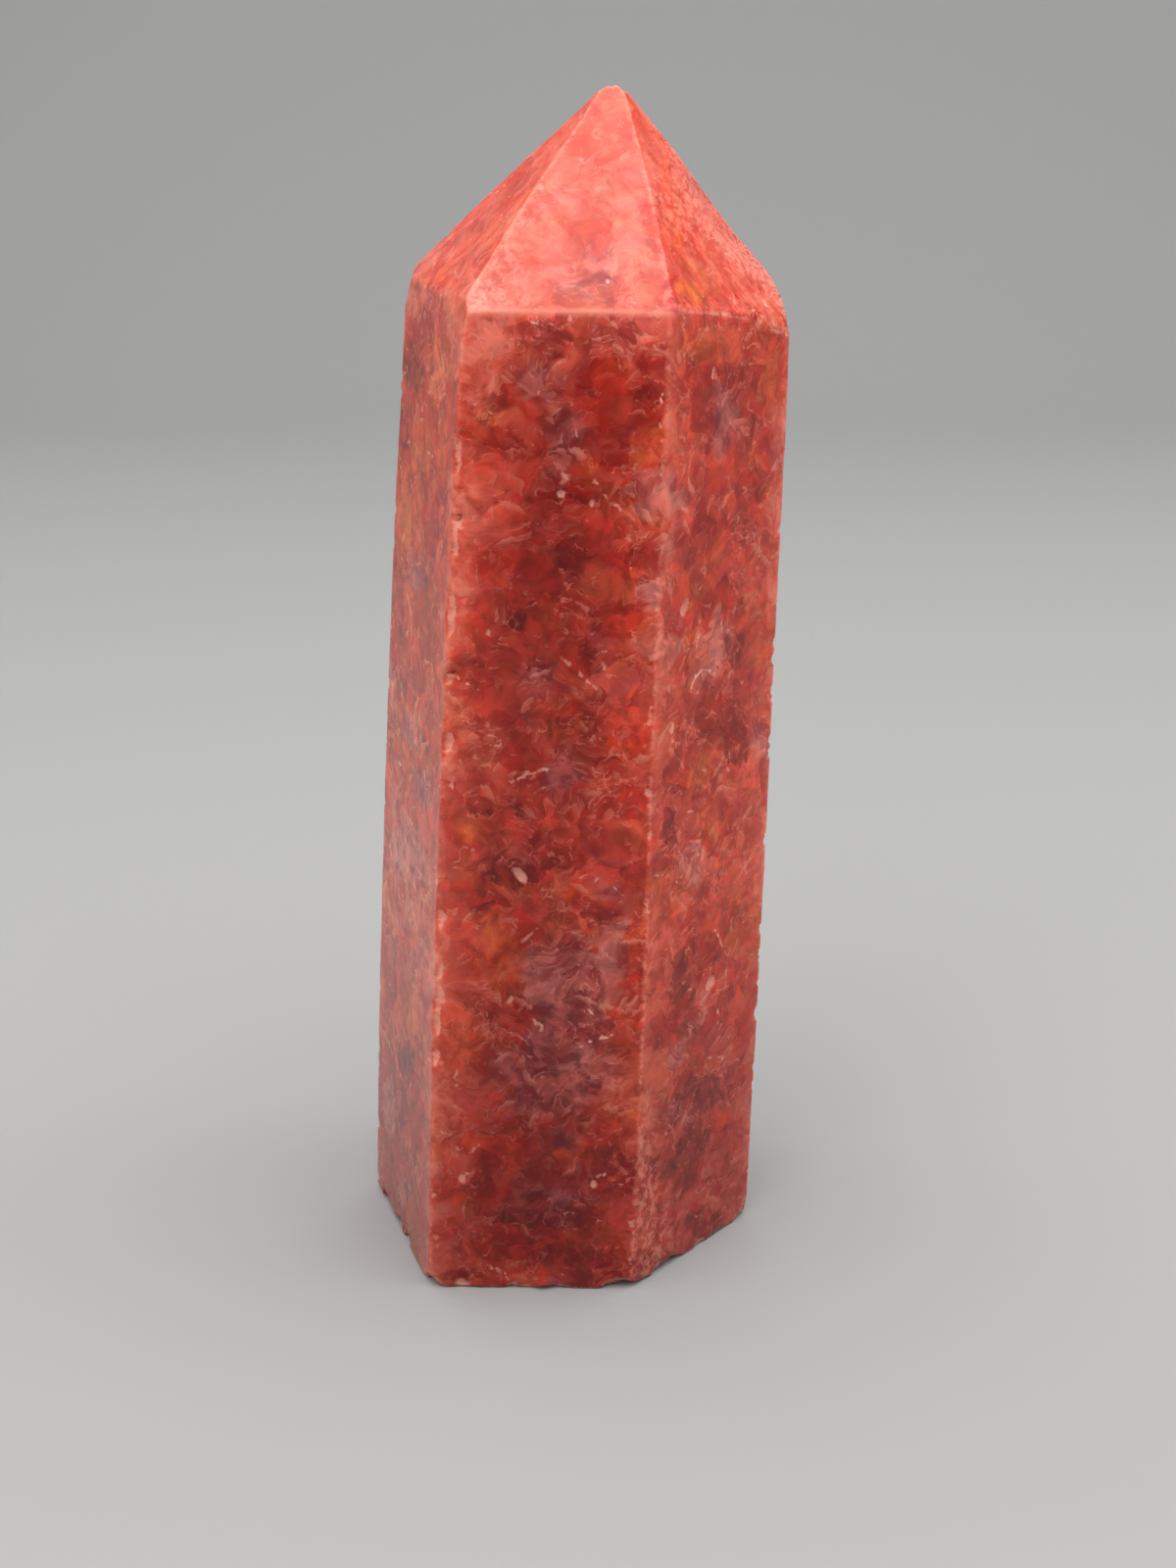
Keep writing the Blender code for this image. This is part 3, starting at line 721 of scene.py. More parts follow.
def grain_fields(x):
    """For every kind of grain, how deep inside one each point lies."""
    depth = np.full((len(KINDS), len(x)), -2.0)
    wander = np.stack([noise_a(x / 2.4 + 5.0), noise_b(x / 2.4 + 9.0), noise_c(x / 2.4 + 2.0)], 1)
    for i, (kind, f, at, long, short, tilt) in enumerate(all_grains()):
        n = normals[f]
        u, v = face_axes(n)
        t = math.radians(tilt)
        e1, e2 = u * math.cos(t) + v * math.sin(t), v * math.cos(t) - u * math.sin(t)
        near = np.flatnonzero(((x - at) ** 2).sum(1) < (long * 1.6 + 2.5) ** 2)
        q = x[near] - at + wander[near] * short * 0.45
        a, b, c = q @ e1 / long, q @ e2 / short, q @ n / (1.6 * short)
        if kind in (0, 1, 2):
            rho = np.sqrt((np.abs(b) + 0.75 * a * a) ** 2 + 0.25 * a * a + c * c)
        else:
            rho = np.sqrt(a * a + b * b + c * c)
        depth[kind, near] = np.maximum(depth[kind, near], (1 - rho) * short)
    return np.clip(depth, -2.0, 3.0)


depths = grain_fields(x)
marks_and_glints = np.zeros(len(x))
for r, strength, *line in MARKS_AND_GLINTS:
    line = np.array(line)
    around = np.flatnonzero((np.abs(x0 - line.mean(0)) < np.ptp(line, axis=0) / 2 + 1.0).all(1))
    at = x0[around]
    bent = at + 0.28 * np.c_[noise_a(at / 0.9 + 3.1), noise_b(at / 0.9 + 7.7), noise_c(at / 0.9 + 5.3)]
    width = r * np.clip(0.80 + 1.2 * noise_a(at / 0.36 + 1.7), 0.25, 1.5)
    marks_and_glints[around] = np.maximum(marks_and_glints[around], strength * np.clip(1.25 - line_gap(bent, line) / width, 0, 1))

# the front of the point meets the front side in one clean pale line: worn edge, and a painted highlight along the
# crease
worn_gap = {name: order[:, -1] - g[:, names.index(name)] for name in ("side_front", "point_front", "shoulder_right_arris")}
crease = np.clip(1 - np.maximum(worn_gap["side_front"], worn_gap["point_front"]) / 0.6, 0, 1)
lower_left = np.clip(1 - np.maximum(order[:, -1] - g[:, names.index("point_left")], worn_gap["point_front"]) / 0.6, 0, 1)
crease = np.maximum(crease, lower_left * np.clip((88.5 - x[:, 2]) / 3, 0, 1))
bevel = np.clip(1.25 - worn_gap["shoulder_right_arris"] / 0.35, 0, 1)
right_arris = np.clip(1.15 - np.maximum(order[:, -1] - g[:, names.index("point_right_back")],
                                        np.minimum(order[:, -1] - g[:, names.index("point_right_front_upper")],
                                                   order[:, -1] - g[:, names.index("point_right_front_lower")])) / 0.9, 0, 1)
def edge_glow(one, other, width):
    """1 on the arris where two faces meet, falling off into both."""
    i, j = names.index(one), names.index(other)
    n = float(normals[i] @ normals[j])
    off = (order[:, -1] - np.minimum(g[:, i], g[:, j])) / math.sqrt(1 - n * n)
    return np.exp(-np.clip(off, 0, None) / width)


# painted light: a coral glow painted along the upright arrises and in a band just under the shoulder, where light
# shines through the stone
high = np.clip((x[:, 2] - 74.0) / 6.0, 0, 1)
on_right = np.clip(1.0 - (order[:, -1] - g[:, names.index("side_right_front")]) / 0.2, 0, 1)
under = np.exp(-np.clip(84.0 - x[:, 2], 0, None) / 1.6) * (x[:, 2] < 84.0)
painted_glow = np.maximum.reduce([
    0.95 * edge_glow("side_left", "side_front", 1.5 + 1.9 * high),
    0.80 * edge_glow("side_right_front", "side_right_back", 1.7),
    0.60 * edge_glow("side_front", "side_right_front", 1.1) * on_right,
    0.55 * under,
])
on_left = order[:, -1] - np.maximum(g[:, names.index("side_left")], g[:, names.index("side_left_back")])
left = np.clip(1.0 - on_left / 0.5, 0, 1)
scuff = np.maximum(bevel, right_arris * np.clip((97 - x[:, 2]) / 4, 0, 1))
print("fields done", len(all_grains()), "grains")

mesh = bpy.data.meshes.new("sunstone_point_fine")
mesh.vertices.add(len(x))
mesh.vertices.foreach_set("co", (x * MM).astype(np.float32).ravel())
mesh.loops.add(len(tris) * 3)
mesh.loops.foreach_set("vertex_index", tris.astype(np.int32).ravel())
mesh.polygons.add(len(tris))
mesh.polygons.foreach_set("loop_start", np.arange(0, len(tris) * 3, 3, dtype=np.int32))
mesh.polygons.foreach_set("loop_total", np.full(len(tris), 3, dtype=np.int32))
mesh.update(calc_edges=True)
mesh.validate()
for name, values in [("arris", arris_gap), ("broken", hollow), ("marks_and_glints", marks_and_glints), ("crease", crease),
                     ("scuff", scuff), ("left", left), ("painted_glow", painted_glow)] + list(zip(KINDS, depths)):
    layer = mesh.attributes.new(name, "FLOAT", "POINT")
    layer.data.foreach_set("value", values.astype(np.float32))
mesh.shade_smooth()
stone = bpy.data.objects.new("sunstone_point_stone", mesh)
bpy.context.scene.collection.objects.link(stone)


# ------------------------------------------------------------------ material
class Graph:
    """Short names for the shader nodes used below."""

    def __init__(self, tree_):
        self.t = tree_

    def node(self, kind, **props):
        n = self.t.nodes.new(kind)
        for k, v in props.items():
            setattr(n, k, v)
        return n

    def put(self, socket, value):
        if isinstance(value, bpy.types.NodeSocket):
            self.t.links.new(value, socket)
        elif isinstance(value, (tuple, list)) and socket.type == "RGBA" and len(value) == 3:
            socket.default_value = (*value, 1.0)
        else:
            socket.default_value = value

    def math(self, op, a, b=0.0, c=None, clamp=False):
        n = self.node("ShaderNodeMath", operation=op, use_clamp=clamp)
        self.put(n.inputs[0], a)
        self.put(n.inputs[1], b)
        if c is not None:
            self.put(n.inputs[2], c)
        return n.outputs[0]

    def add(self, a, b): return self.math("ADD", a, b)
    def sub(self, a, b): return self.math("SUBTRACT", a, b)
    def mul(self, a, b): return self.math("MULTIPLY", a, b)
    def div(self, a, b): return self.math("DIVIDE", a, b)
    def mad(self, a, b, c): return self.math("MULTIPLY_ADD", a, b, c)
    def lo(self, a, b): return self.math("MINIMUM", a, b)
    def hi(self, a, b): return self.math("MAXIMUM", a, b)
    def inv(self, a): return self.math("SUBTRACT", 1.0, a)

    def vec(self, op, a, b=(0, 0, 0), scale=None):
        n = self.node("ShaderNodeVectorMath", operation=op)
        self.put(n.inputs[0], a)
        if op not in ("NORMALIZE", "LENGTH", "SCALE"):
            self.put(n.inputs[1], b)
        if scale is not None:
            self.put(n.inputs["Scale"], scale)
        return n.outputs["Value" if op in ("DOT_PRODUCT", "LENGTH", "DISTANCE") else "Vector"]

    def step(self, a, low, high, to_low=0.0, to_high=1.0):
        n = self.node("ShaderNodeMapRange", interpolation_type="SMOOTHSTEP")
        for k, v in zip(("Value", "From Min", "From Max", "To Min", "To Max"), (a, low, high, to_low, to_high)):
            self.put(n.inputs[k], v)
        return n.outputs[0]

    def noise(self, p, scale, detail=2.0, rough=0.5, twist=0.0, kind="FBM"):
        n = self.node("ShaderNodeTexNoise", noise_dimensions="3D", noise_type=kind)
        if kind == "FBM":
            n.normalize = True
        self.put(n.inputs["Vector"], p)
        for k, v in (("Scale", scale), ("Detail", detail), ("Roughness", rough), ("Distortion", twist)):
            self.put(n.inputs[k], v)
        return n.outputs[0], n.outputs[1]

    def cells(self, p, scale, feature="F1", rand=1.0, smooth=None):
        n = self.node("ShaderNodeTexVoronoi", voronoi_dimensions="3D", feature=feature)
        self.put(n.inputs["Vector"], p)
        self.put(n.inputs["Scale"], scale)
        self.put(n.inputs["Randomness"], rand)
        if smooth is not None:
            self.put(n.inputs["Smoothness"], smooth)
        return n.outputs

    def split(self, v):
        n = self.node("ShaderNodeSeparateXYZ")
        self.put(n.inputs[0], v)
        return n.outputs[0], n.outputs[1], n.outputs[2]

    def mix(self, fac, a, b, blend="MIX"):
        n = self.node("ShaderNodeMix", data_type="RGBA", blend_type=blend, clamp_factor=True)
        self.put(n.inputs[0], fac)
        self.put(n.inputs[6], a)
        self.put(n.inputs[7], b)
        return n.outputs[2]

    def mixf(self, fac, a, b):
        n = self.node("ShaderNodeMix", data_type="FLOAT", clamp_factor=True)
        self.put(n.inputs[0], fac)
        self.put(n.inputs[2], a)
        self.put(n.inputs[3], b)
        return n.outputs[0]

    def ramp(self, fac, stops, how="LINEAR"):
        n = self.node("ShaderNodeValToRGB")
        n.color_ramp.interpolation = how
        e = n.color_ramp.elements
        while len(e) < len(stops):
            e.new(0.5)
        for k, (at, colour) in enumerate(stops):
            e[k].position = at
            e[k].color = (*colour, 1.0) if len(colour) == 3 else colour
        self.put(n.inputs[0], fac)
        return n.outputs[0]

    def attr(self, name):
        n = self.node("ShaderNodeAttribute", attribute_name=name)
        return n.outputs["Fac"]


def stone_material():
    mat = bpy.data.materials.new("polished sunstone")
    mat.use_nodes = True
    t = mat.node_tree
    t.nodes.clear()
    g = Graph(t)
    out = g.node("ShaderNodeOutputMaterial")
    bsdf = g.node("ShaderNodeBsdfPrincipled")
    t.links.new(bsdf.outputs[0], out.inputs[0])

    place = g.node("ShaderNodeTexCoord").outputs["Object"]
    P = g.vec("SCALE", place, scale=1000.0)                    # millimetres

    def bend(p, scale, amount, detail=2.0, rough=0.5, offset=None):
        q = g.vec("ADD", p, offset) if offset else p
        _, c = g.noise(q, scale, detail, rough)
        c = g.vec("SUBTRACT", c, (0.5, 0.5, 0.5))
        return g.vec("ADD", p, g.vec("SCALE", c, scale=amount))

    def field(p, scale, detail=2.0, rough=0.5, offset=None, twist=0.0):
        q = g.vec("ADD", p, offset) if offset else p
        return g.noise(q, scale, detail, rough, twist)[0]

    # two warped copies of space: outlines wander, and are ragged close up
    W1 = bend(P, 0.30, 3.4, 1.0)
    W2 = bend(W1, 0.95, 0.85, 2.0, 0.50, (13.1, 4.2, 7.7))
    W3 = bend(W2, 3.2, 0.26, 1.0, 0.5, (2.1, 8.2, 0.7))

    def turned(p, angle, stretch):
        n = g.node("ShaderNodeVectorRotate", rotation_type="Y_AXIS")
        g.put(n.inputs["Vector"], p)
        n.inputs["Angle"].default_value = math.radians(angle)
        return g.vec("MULTIPLY", n.outputs[0], stretch)

    # ---- fields shared by the layers
    cloud = field(P, 0.20, 2.0, 0.5, (4.0, 31.0, 5.0))          # where the stone is busy
    rag = field(W2, 0.95, 3.0, 0.60, (9.0, 1.0, 5.0))           # ragged outlines
    soft = field(P, 0.55, 1.0, 0.5, (21.0, 8.0, 3.0))           # how sharp an outline is

    # ---- grains at three sizes, each tilted like a flake
    def flakes(p, size, salt):
        q = g.vec("ADD", p, salt)
        o = g.cells(q, 1.0 / size)
        ids = g.split(o["Color"])
        v = g.vec("SCALE", g.vec("SUBTRACT", q, o["Position"]), scale=1.0 / size)
        d = g.vec("NORMALIZE", g.vec("SUBTRACT", o["Color"], (0.5, 0.5, 0.5)))
        return ids, g.vec("DOT_PRODUCT", v, d), o

    big, big_tilt, _ = flakes(W2, 4.2, (0.0, 0.0, 0.0))
    mid, mid_tilt, _ = flakes(turned(W2, 28, (0.62, 1.0, 1.10)), 1.55, (5.1, 2.2, 8.3))
    small, small_tilt, _ = flakes(turned(W3, 40, (0.50, 1.0, 1.15)), 0.78, (1.7, 6.4, 2.9))
    chip, chip_tilt, _ = flakes(turned(W3, -12, (0.48, 1.0, 1.20)), 0.62, (31.7, 16.4, 22.9))

    jag = g.add(g.mad(mid[0], 1.30, -0.65), g.mad(small[0], 0.70, -0.35))   # outlines step along the flakes

    def inside(kind, sharp_low=0.22, sharp_high=1.6, bite=2.2, step=0.8):
        d = g.mad(g.sub(rag, 0.5), bite, g.mad(jag, step, g.attr(kind)))
        width = g.step(soft, 0.40, 0.62, sharp_low, sharp_high)
        return g.step(g.div(d, width), -0.5, 0.5), d

    veil = field(W2, 0.50, 4.0, 0.58, (2.0, 14.0, 71.0))        # soft mottling

    # ---- body colour
    drift = field(P, 0.12, 2.0, 0.5, (17.0, 3.0, 44.0))
    body = g.ramp(g.mad(big[0], 0.55, g.mul(drift, 0.62)), (
        (0.16, (0.370, 0.021, 0.013)), (0.36, (0.520, 0.030, 0.019)), (0.50, (0.610, 0.045, 0.026)),
        (0.62, (0.660, 0.075, 0.036)), (0.74, (0.560, 0.050, 0.038)), (0.90, (0.680, 0.110, 0.075))))
    body = g.mix(g.mul(g.step(big_tilt, 0.35, -0.45), 0.55), body, (0.300, 0.017, 0.012))

    # ---- hazy grains first, then the clear ones over them
    m_mauve, _ = inside("mauve", 0.9, 2.2, 1.8, 0.7)
    m_mist, _ = inside("mist", 0.6, 1.8, 2.0, 0.9)
    m_coral, _ = inside("coral", 0.35, 1.6, 2.0, 1.0)
    m_amber, d_amber = inside("amber")
    m_ember, d_ember = inside("ember")
    m_clear, d_clear = inside("clear", 0.16, 1.2)
    m_dark, d_dark = inside("dark", 0.16, 1.4)

    col = g.mix(g.mul(m_mauve, 0.86), body, g.mix(g.step(veil, 0.40, 0.62), (0.220, 0.034, 0.040), (0.370, 0.108, 0.110)))
    col = g.mix(g.mul(m_mist, 0.80), col, g.mix(g.step(veil, 0.38, 0.64), (0.400, 0.110, 0.100), (0.580, 0.240, 0.210)))
    col = g.mix(g.mul(m_coral, 0.75), col, g.mix(g.step(veil, 0.38, 0.64), (0.700, 0.105, 0.060), (0.830, 0.215, 0.140)))
    col = g.mix(g.mul(m_amber, 0.80), col, g.mix(g.step(veil, 0.38, 0.62), (0.540, 0.066, 0.024), (0.670, 0.118, 0.042)))
    col = g.mix(g.mul(m_ember, 0.85), col, g.mix(g.step(big_tilt, -0.4, 0.4), (0.560, 0.030, 0.014), (0.720, 0.070, 0.026)))
    col = g.mix(g.mul(m_clear, 0.88), col, g.mix(g.step(big_tilt, -0.45, 0.45), (0.330, 0.012, 0.007), (0.540, 0.032, 0.014)))
    col = g.mix(g.mul(m_dark, 0.85), col, g.mix(g.step(veil, 0.38, 0.62), (0.190, 0.009, 0.009), (0.320, 0.018, 0.016)))

    clarity = g.hi(g.hi(m_clear, g.mul(m_dark, 0.85)), g.hi(g.mul(m_ember, 0.8), g.mul(m_amber, 0.6)))
    own = g.step(big[1], 0.66, 0.74)                            # other clear grains
    clarity = g.hi(clarity, g.mul(own, g.inv(g.hi(m_mist, m_coral))))
    haze = g.inv(g.mul(clarity, 0.74))

    # ---- every flake has its own depth of tone, over a softer unbroken mottling
    tone = g.mul(g.mixf(g.mul(haze, 0.85), 1.0, g.mad(mid[2], 0.26, 0.87)), g.mad(big[2], 0.16, 0.92))
    tone = g.mul(tone, g.mixf(haze, 1.0, g.mad(small[2], 0.14, 0.93)))
    mottle = field(W1, 0.80, 2.0, 0.50, (61.0, 4.0, 13.0))
    tone = g.mul(tone, g.step(mottle, 0.32, 0.68, 0.76, 1.24))
    col = g.vec("SCALE", col, scale=tone)
    hue = g.add(field(P, 0.34, 2.0, 0.55, (8.0, 61.0, 31.0)), g.mad(mid[0], 0.10, -0.05))
    plainly = g.inv(g.hi(m_mauve, m_mist))
    col = g.mix(g.mul(g.step(hue, 0.50, 0.36), plainly), col, g.mix(1.0, col, (0.90, 0.96, 1.35), "MULTIPLY"))
    col = g.mix(g.mul(g.step(hue, 0.50, 0.64), plainly), col, g.mix(1.0, col, (0.98, 1.36, 0.82), "MULTIPLY"))

    # ---- veils: soft mottling under the surface
    col = g.mix(g.mul(g.mul(g.step(veil, 0.48, 0.68), haze), 0.50), col, (0.760, 0.150, 0.105))
    col = g.mix(g.mul(g.mul(g.step(veil, 0.50, 0.34), haze), 0.45), col, (0.330, 0.022, 0.018))

    # ---- flakes: pale on the high side, sharp at their outline
    z = g.split(P)[2]
    calm = g.step(z, 82.5, 84.5, 1.0, 0.55)
    busy = g.mul(g.mul(g.step(cloud, 0.42, 0.60), haze), calm)
    pale_mid = g.mul(g.mul(g.step(mid[1], 0.52, 0.72), g.step(mid_tilt, -0.20, 0.50)), g.mul(haze, 0.36))
    col = g.mix(pale_mid, col, (0.740, 0.150, 0.105))
    deep_mid = g.mul(g.mul(g.step(mid[0], 0.62, 0.78), g.step(mid_tilt, 0.40, -0.30)), g.mul(haze, 0.38))
    col = g.mix(deep_mid, col, (0.270, 0.016, 0.013))
    deep_small = g.mul(g.mul(g.step(small[1], 0.66, 0.78), g.step(small_tilt, 0.3, -0.3)), g.mul(busy, 0.36))
    col = g.mix(deep_small, col, (0.230, 0.014, 0.014))
    pale_small = g.mul(g.mul(g.step(small[0], 0.74, 0.80), g.step(small_tilt, -0.25, 0.45)), g.mul(busy, 0.50))
    col = g.mix(pale_small, col, (0.820, 0.290, 0.215))
    pale_chip = g.mul(g.mul(g.step(chip[0], 0.82, 0.87), g.step(chip_tilt, -0.25, 0.40)), g.mul(busy, 0.56))
    col = g.mix(pale_chip, col, (0.860, 0.340, 0.260))

    # ---- scalloped edges: a fine pale line that fades off on one side, with a thin painted shadow on the other
    def scallops(p, scale, count, salt, line, fade):
        f = field(p, scale, 1.5, 0.45, salt)
        saw = g.math("FRACT", g.mul(f, count))
        return g.step(saw, line, line * 0.3), g.math("POWER", g.inv(saw), fade), g.math("POWER", saw, 5.0)

    gate_a = field(P, 0.42, 2.0, 0.6, (51.0, 2.0, 18.0))
    gate_b = field(P, 0.47, 2.0, 0.6, (12.0, 52.0, 6.0))
    line_a, fade_a, painted_shade_a = scallops(turned(W2, 35, (0.50, 1.0, 1.0)), 0.40, 7.0, (3.0, 5.0, 7.0), 0.085, 4.0)
    line_b, fade_b, painted_shade_b = scallops(turned(W2, -8, (0.60, 1.0, 1.2)), 0.52, 6.0, (23.0, 15.0, 37.0), 0.10, 4.0)
    on_a = g.mul(g.step(gate_a, 0.52, 0.57), g.mad(haze, 0.8, 0.2))
    on_b = g.mul(g.step(gate_b, 0.54, 0.59), g.mad(haze, 0.8, 0.2))
    col = g.mix(g.mul(g.mul(fade_a, on_a), 0.45), col, (0.770, 0.190, 0.135))
    col = g.mix(g.mul(g.mul(fade_b, on_b), 0.40), col, (0.760, 0.185, 0.140))
    # painted shadow: a thin dark band just before each scalloped line
    col = g.mix(g.mul(g.hi(g.mul(painted_shade_a, on_a), g.mul(painted_shade_b, on_b)), 0.30), col, (0.220, 0.014, 0.014))
    lines = g.hi(g.mul(line_a, on_a), g.mul(g.mul(line_b, on_b), 0.9))

    # ---- rims of the clear grains, and healed cracks along grain outlines
    def rim(d, width=0.16):
        return g.step(g.math("ABSOLUTE", g.add(d, 0.12)), width, 0.03)

    rims = g.hi(g.hi(rim(d_clear), rim(d_dark)), g.hi(rim(d_ember), rim(d_amber)))
    rims = g.mul(rims, g.step(soft, 0.50, 0.44))
    rims = g.mul(rims, g.step(gate_b, 0.44, 0.54))
    q = turned(W3, 20, (0.70, 1.0, 1.10))
    wall = g.mul(g.cells(g.vec("ADD", q, (7.0, 3.0, 1.0)), 1.0 / 3.2, "DISTANCE_TO_EDGE")["Distance"], 3.2)
    gate_c = field(P, 0.60, 2.0, 0.6, (33.0, 8.0, 71.0))
    cracks = g.mul(g.step(wall, 0.085, 0.02), g.step(gate_c, 0.55, 0.62))
    lines = g.hi(lines, g.hi(g.mul(rims, 0.85), cracks))
    bright = g.step(field(P, 1.6, 1.0, 0.5, (1.0, 77.0, 3.0)), 0.42, 0.66)
    col = g.mix(g.mul(lines, g.mad(bright, 0.52, 0.20)), col, (0.860, 0.330, 0.255))

    # ---- little shards, crescents, dark spots, and painted glints as small bright beads
    def scatter(size, salt):
        q = g.vec("ADD", P, salt)
        o = g.cells(q, 1.0 / size, rand=0.9)
        return g.split(o["Color"]), o["Color"], g.vec("SUBTRACT", q, o["Position"])

    ids, c3, v = scatter(2.6, (3.0, 9.0, 27.0))
    d1 = g.vec("NORMALIZE", g.vec("SUBTRACT", c3, (0.5, 0.5, 0.5)))
    d2 = g.vec("NORMALIZE", g.vec("CROSS_PRODUCT", d1, (0.35, 0.90, -0.25)))
    v = g.vec("ADD", v, g.vec("SCALE", g.vec("SUBTRACT", g.noise(P, 1.4, 2.0)[1], (0.5, 0.5, 0.5)), scale=0.7))
    across = g.vec("DOT_PRODUCT", v, d1)
    along = g.vec("DOT_PRODUCT", v, d2)
    room = g.sub(0.26, g.mul(g.mul(along, along), 0.26))
    shard = g.mul(g.step(g.sub(room, g.math("ABSOLUTE", across)), 0.0, 0.05), g.step(ids[2], 0.66, 0.70))
    shard = g.mul(shard, g.mad(g.step(across, -0.25, 0.25), 0.75, 0.25))
    col = g.mix(g.mul(g.mul(shard, haze), 0.62), col, (0.880, 0.370, 0.290))

    ids, c3, v = scatter(2.1, (43.0, 19.0, 2.0))
    jolt = g.vec("SCALE", g.vec("SUBTRACT", g.noise(P, 1.7, 2.0)[1], (0.5, 0.5, 0.5)), scale=0.9)
    v = g.vec("MULTIPLY", g.vec("ADD", v, jolt), (0.75, 1.0, 1.15))
    r = g.vec("LENGTH", v)
    size = g.mad(ids[0], 0.34, 0.16)
    ring = g.step(g.math("ABSOLUTE", g.sub(r, size)), 0.09, 0.03)
    d1 = g.vec("NORMALIZE", g.vec("SUBTRACT", c3, (0.5, 0.5, 0.5)))
    ring = g.mul(ring, g.step(g.vec("DOT_PRODUCT", v, d1), 0.0, 0.16))
    ring = g.mul(ring, g.step(ids[1], 0.74, 0.78))
    ring = g.mul(ring, g.step(gate_a, 0.42, 0.54))
    col = g.mix(g.mul(ring, 0.60), col, (0.880, 0.390, 0.310))

    ids, c3, v = scatter(2.5, (11.0, 29.0, 92.0))
    jolt = g.vec("SCALE", g.vec("SUBTRACT", g.noise(P, 3.4, 1.0)[1], (0.5, 0.5, 0.5)), scale=0.42)
    r = g.vec("LENGTH", g.vec("ADD", g.vec("MULTIPLY", v, (1.0, 1.0, 0.75)), jolt))
    painted_glint = g.mul(g.step(r, g.mad(ids[0], 0.10, 0.05), 0.0), g.step(ids[1], 0.62, 0.66))
    spot = g.mul(g.step(r, g.mad(ids[0], 0.30, 0.16), 0.06), g.step(ids[2], 0.80, 0.84))
    col = g.mix(g.mul(spot, 0.65), col, (0.120, 0.013, 0.018))
    # painted glints: small bright beads
    col = g.mix(g.mul(painted_glint, 0.85), col, (0.930, 0.580, 0.510))

    # ---- the larger pale marks and healed nicks in view, a few of them painted glints
    marks_and_glints = g.attr("marks_and_glints")
    col = g.mix(g.mul(g.step(marks_and_glints, 0.0, 0.5), 0.18), col, (0.840, 0.240, 0.180))
    marks_and_glints = g.mul(g.step(g.mad(g.sub(rag, 0.5), 1.2, marks_and_glints), 0.16, 0.72), g.step(marks_and_glints, 0.06, 0.24))
    col = g.mix(g.mul(marks_and_glints, g.mad(bright, 0.40, 0.60)), col, (0.930, 0.540, 0.460))

    # ---- crumbly patches
    crumb = field(W2, 2.7, 2.0, 0.6, (5.0, 3.0, 9.0))
    crumb = g.mul(g.step(crumb, 0.57, 0.66), g.mul(g.mul(g.step(gate_a, 0.54, 0.66), haze), calm))
    col = g.mix(g.mul(crumb, 0.50), col, (0.820, 0.330, 0.265))

    # ---- painted light and shade: light painted in near the arrises, painted shade below the point that is deepest at the foot, a painted sheen on the left face and a painted glow towards the tip
    gap = g.attr("arris")
    left = g.attr("left")
    # painted light and shade: below the point the colour turns to a darker shaded copy, and on the left face to a
    # warmer copy painted as lit
    below = g.mul(g.step(z, 84.5, 78.0), g.inv(g.mul(g.hi(m_mauve, m_mist), 0.60)))
    deep = g.node("ShaderNodeGamma")
    t.links.new(g.mix(1.0, col, (0.84, 0.68, 0.58), "MULTIPLY"), deep.inputs[0])
    deep.inputs[1].default_value = 1.06
    lit_left_copy = g.mix(1.0, col, (0.94, 0.86, 0.50), "MULTIPLY")
    col = g.mix(below, col, g.mix(left, deep.outputs[0], lit_left_copy))
    # painted light and shade: lighter near the arrises, darker away from them, except on the left face
    col = g.mix(g.mul(g.step(gap, 0.8, 6.0), g.inv(left)), g.vec("SCALE", col, scale=1.12), g.mix(1.0, col, (0.82, 0.70, 0.72), "MULTIPLY"))
    # painted glow near the arrises
    painted_arris_glow = g.mul(g.math("EXPONENT", g.mul(gap, -0.62)), g.step(field(P, 0.5, 2.0, 0.6, (7.0, 7.0, 7.0)), 0.36, 0.62))
    col = g.mix(g.mul(painted_arris_glow, g.mul(haze, 0.50)), col, (0.780, 0.135, 0.075))
    # painted glow along the upright arrises and under the shoulder
    painted_glow = g.mul(g.attr("painted_glow"), g.mad(g.step(rag, 0.36, 0.62), 0.45, 0.40))
    col = g.mix(g.mul(painted_glow, g.mad(haze, 0.75, 0.25)), col, g.mix(g.step(veil, 0.38, 0.62), (0.720, 0.125, 0.070), (0.860, 0.270, 0.190)))
    # painted shade: darker towards the foot
    col = g.mix(g.step(z, 38.0, 4.0), col, g.mix(1.0, col, (0.66, 0.58, 0.60), "MULTIPLY"))
    # painted glow: more orange towards the tip
    col = g.mix(g.mul(g.step(z, 84.0, 97.0), 0.25), col, (0.800, 0.130, 0.070))
    # painted reflection: a pale pink sheen on the left face about mid height
    painted_left_sheen = g.mul(g.mul(left, g.step(g.math("ABSOLUTE", g.sub(z, 34.0)), 14.0, 3.0)), g.mad(g.step(veil, 0.36, 0.62), 0.20, 0.0))
    col = g.mix(painted_left_sheen, col, (0.830, 0.330, 0.280))
    point = g.step(z, 83.0, 86.0)
    quiet = g.mix(g.step(veil, 0.34, 0.66), (0.600, 0.080, 0.052), (0.760, 0.180, 0.135))
    col = g.mix(g.mul(g.mul(point, g.inv(g.mul(clarity, 0.6))), 0.42), col, quiet)

    # ---- the scuffed bevel down the right of the point
    scuff = g.attr("scuff")
    grit = field(turned(W3, 25, (0.7, 1.0, 1.0)), 1.9, 3.0, 0.65, (3.0, 3.0, 30.0))
    scuff = g.mul(g.step(g.mad(scuff, 0.13, grit), 0.54, 0.68), g.step(scuff, 0.0, 0.35))
    col = g.mix(g.mul(scuff, g.mad(g.step(z, 90.5, 87.0), 0.24, 0.16)), col, (0.880, 0.330, 0.270))

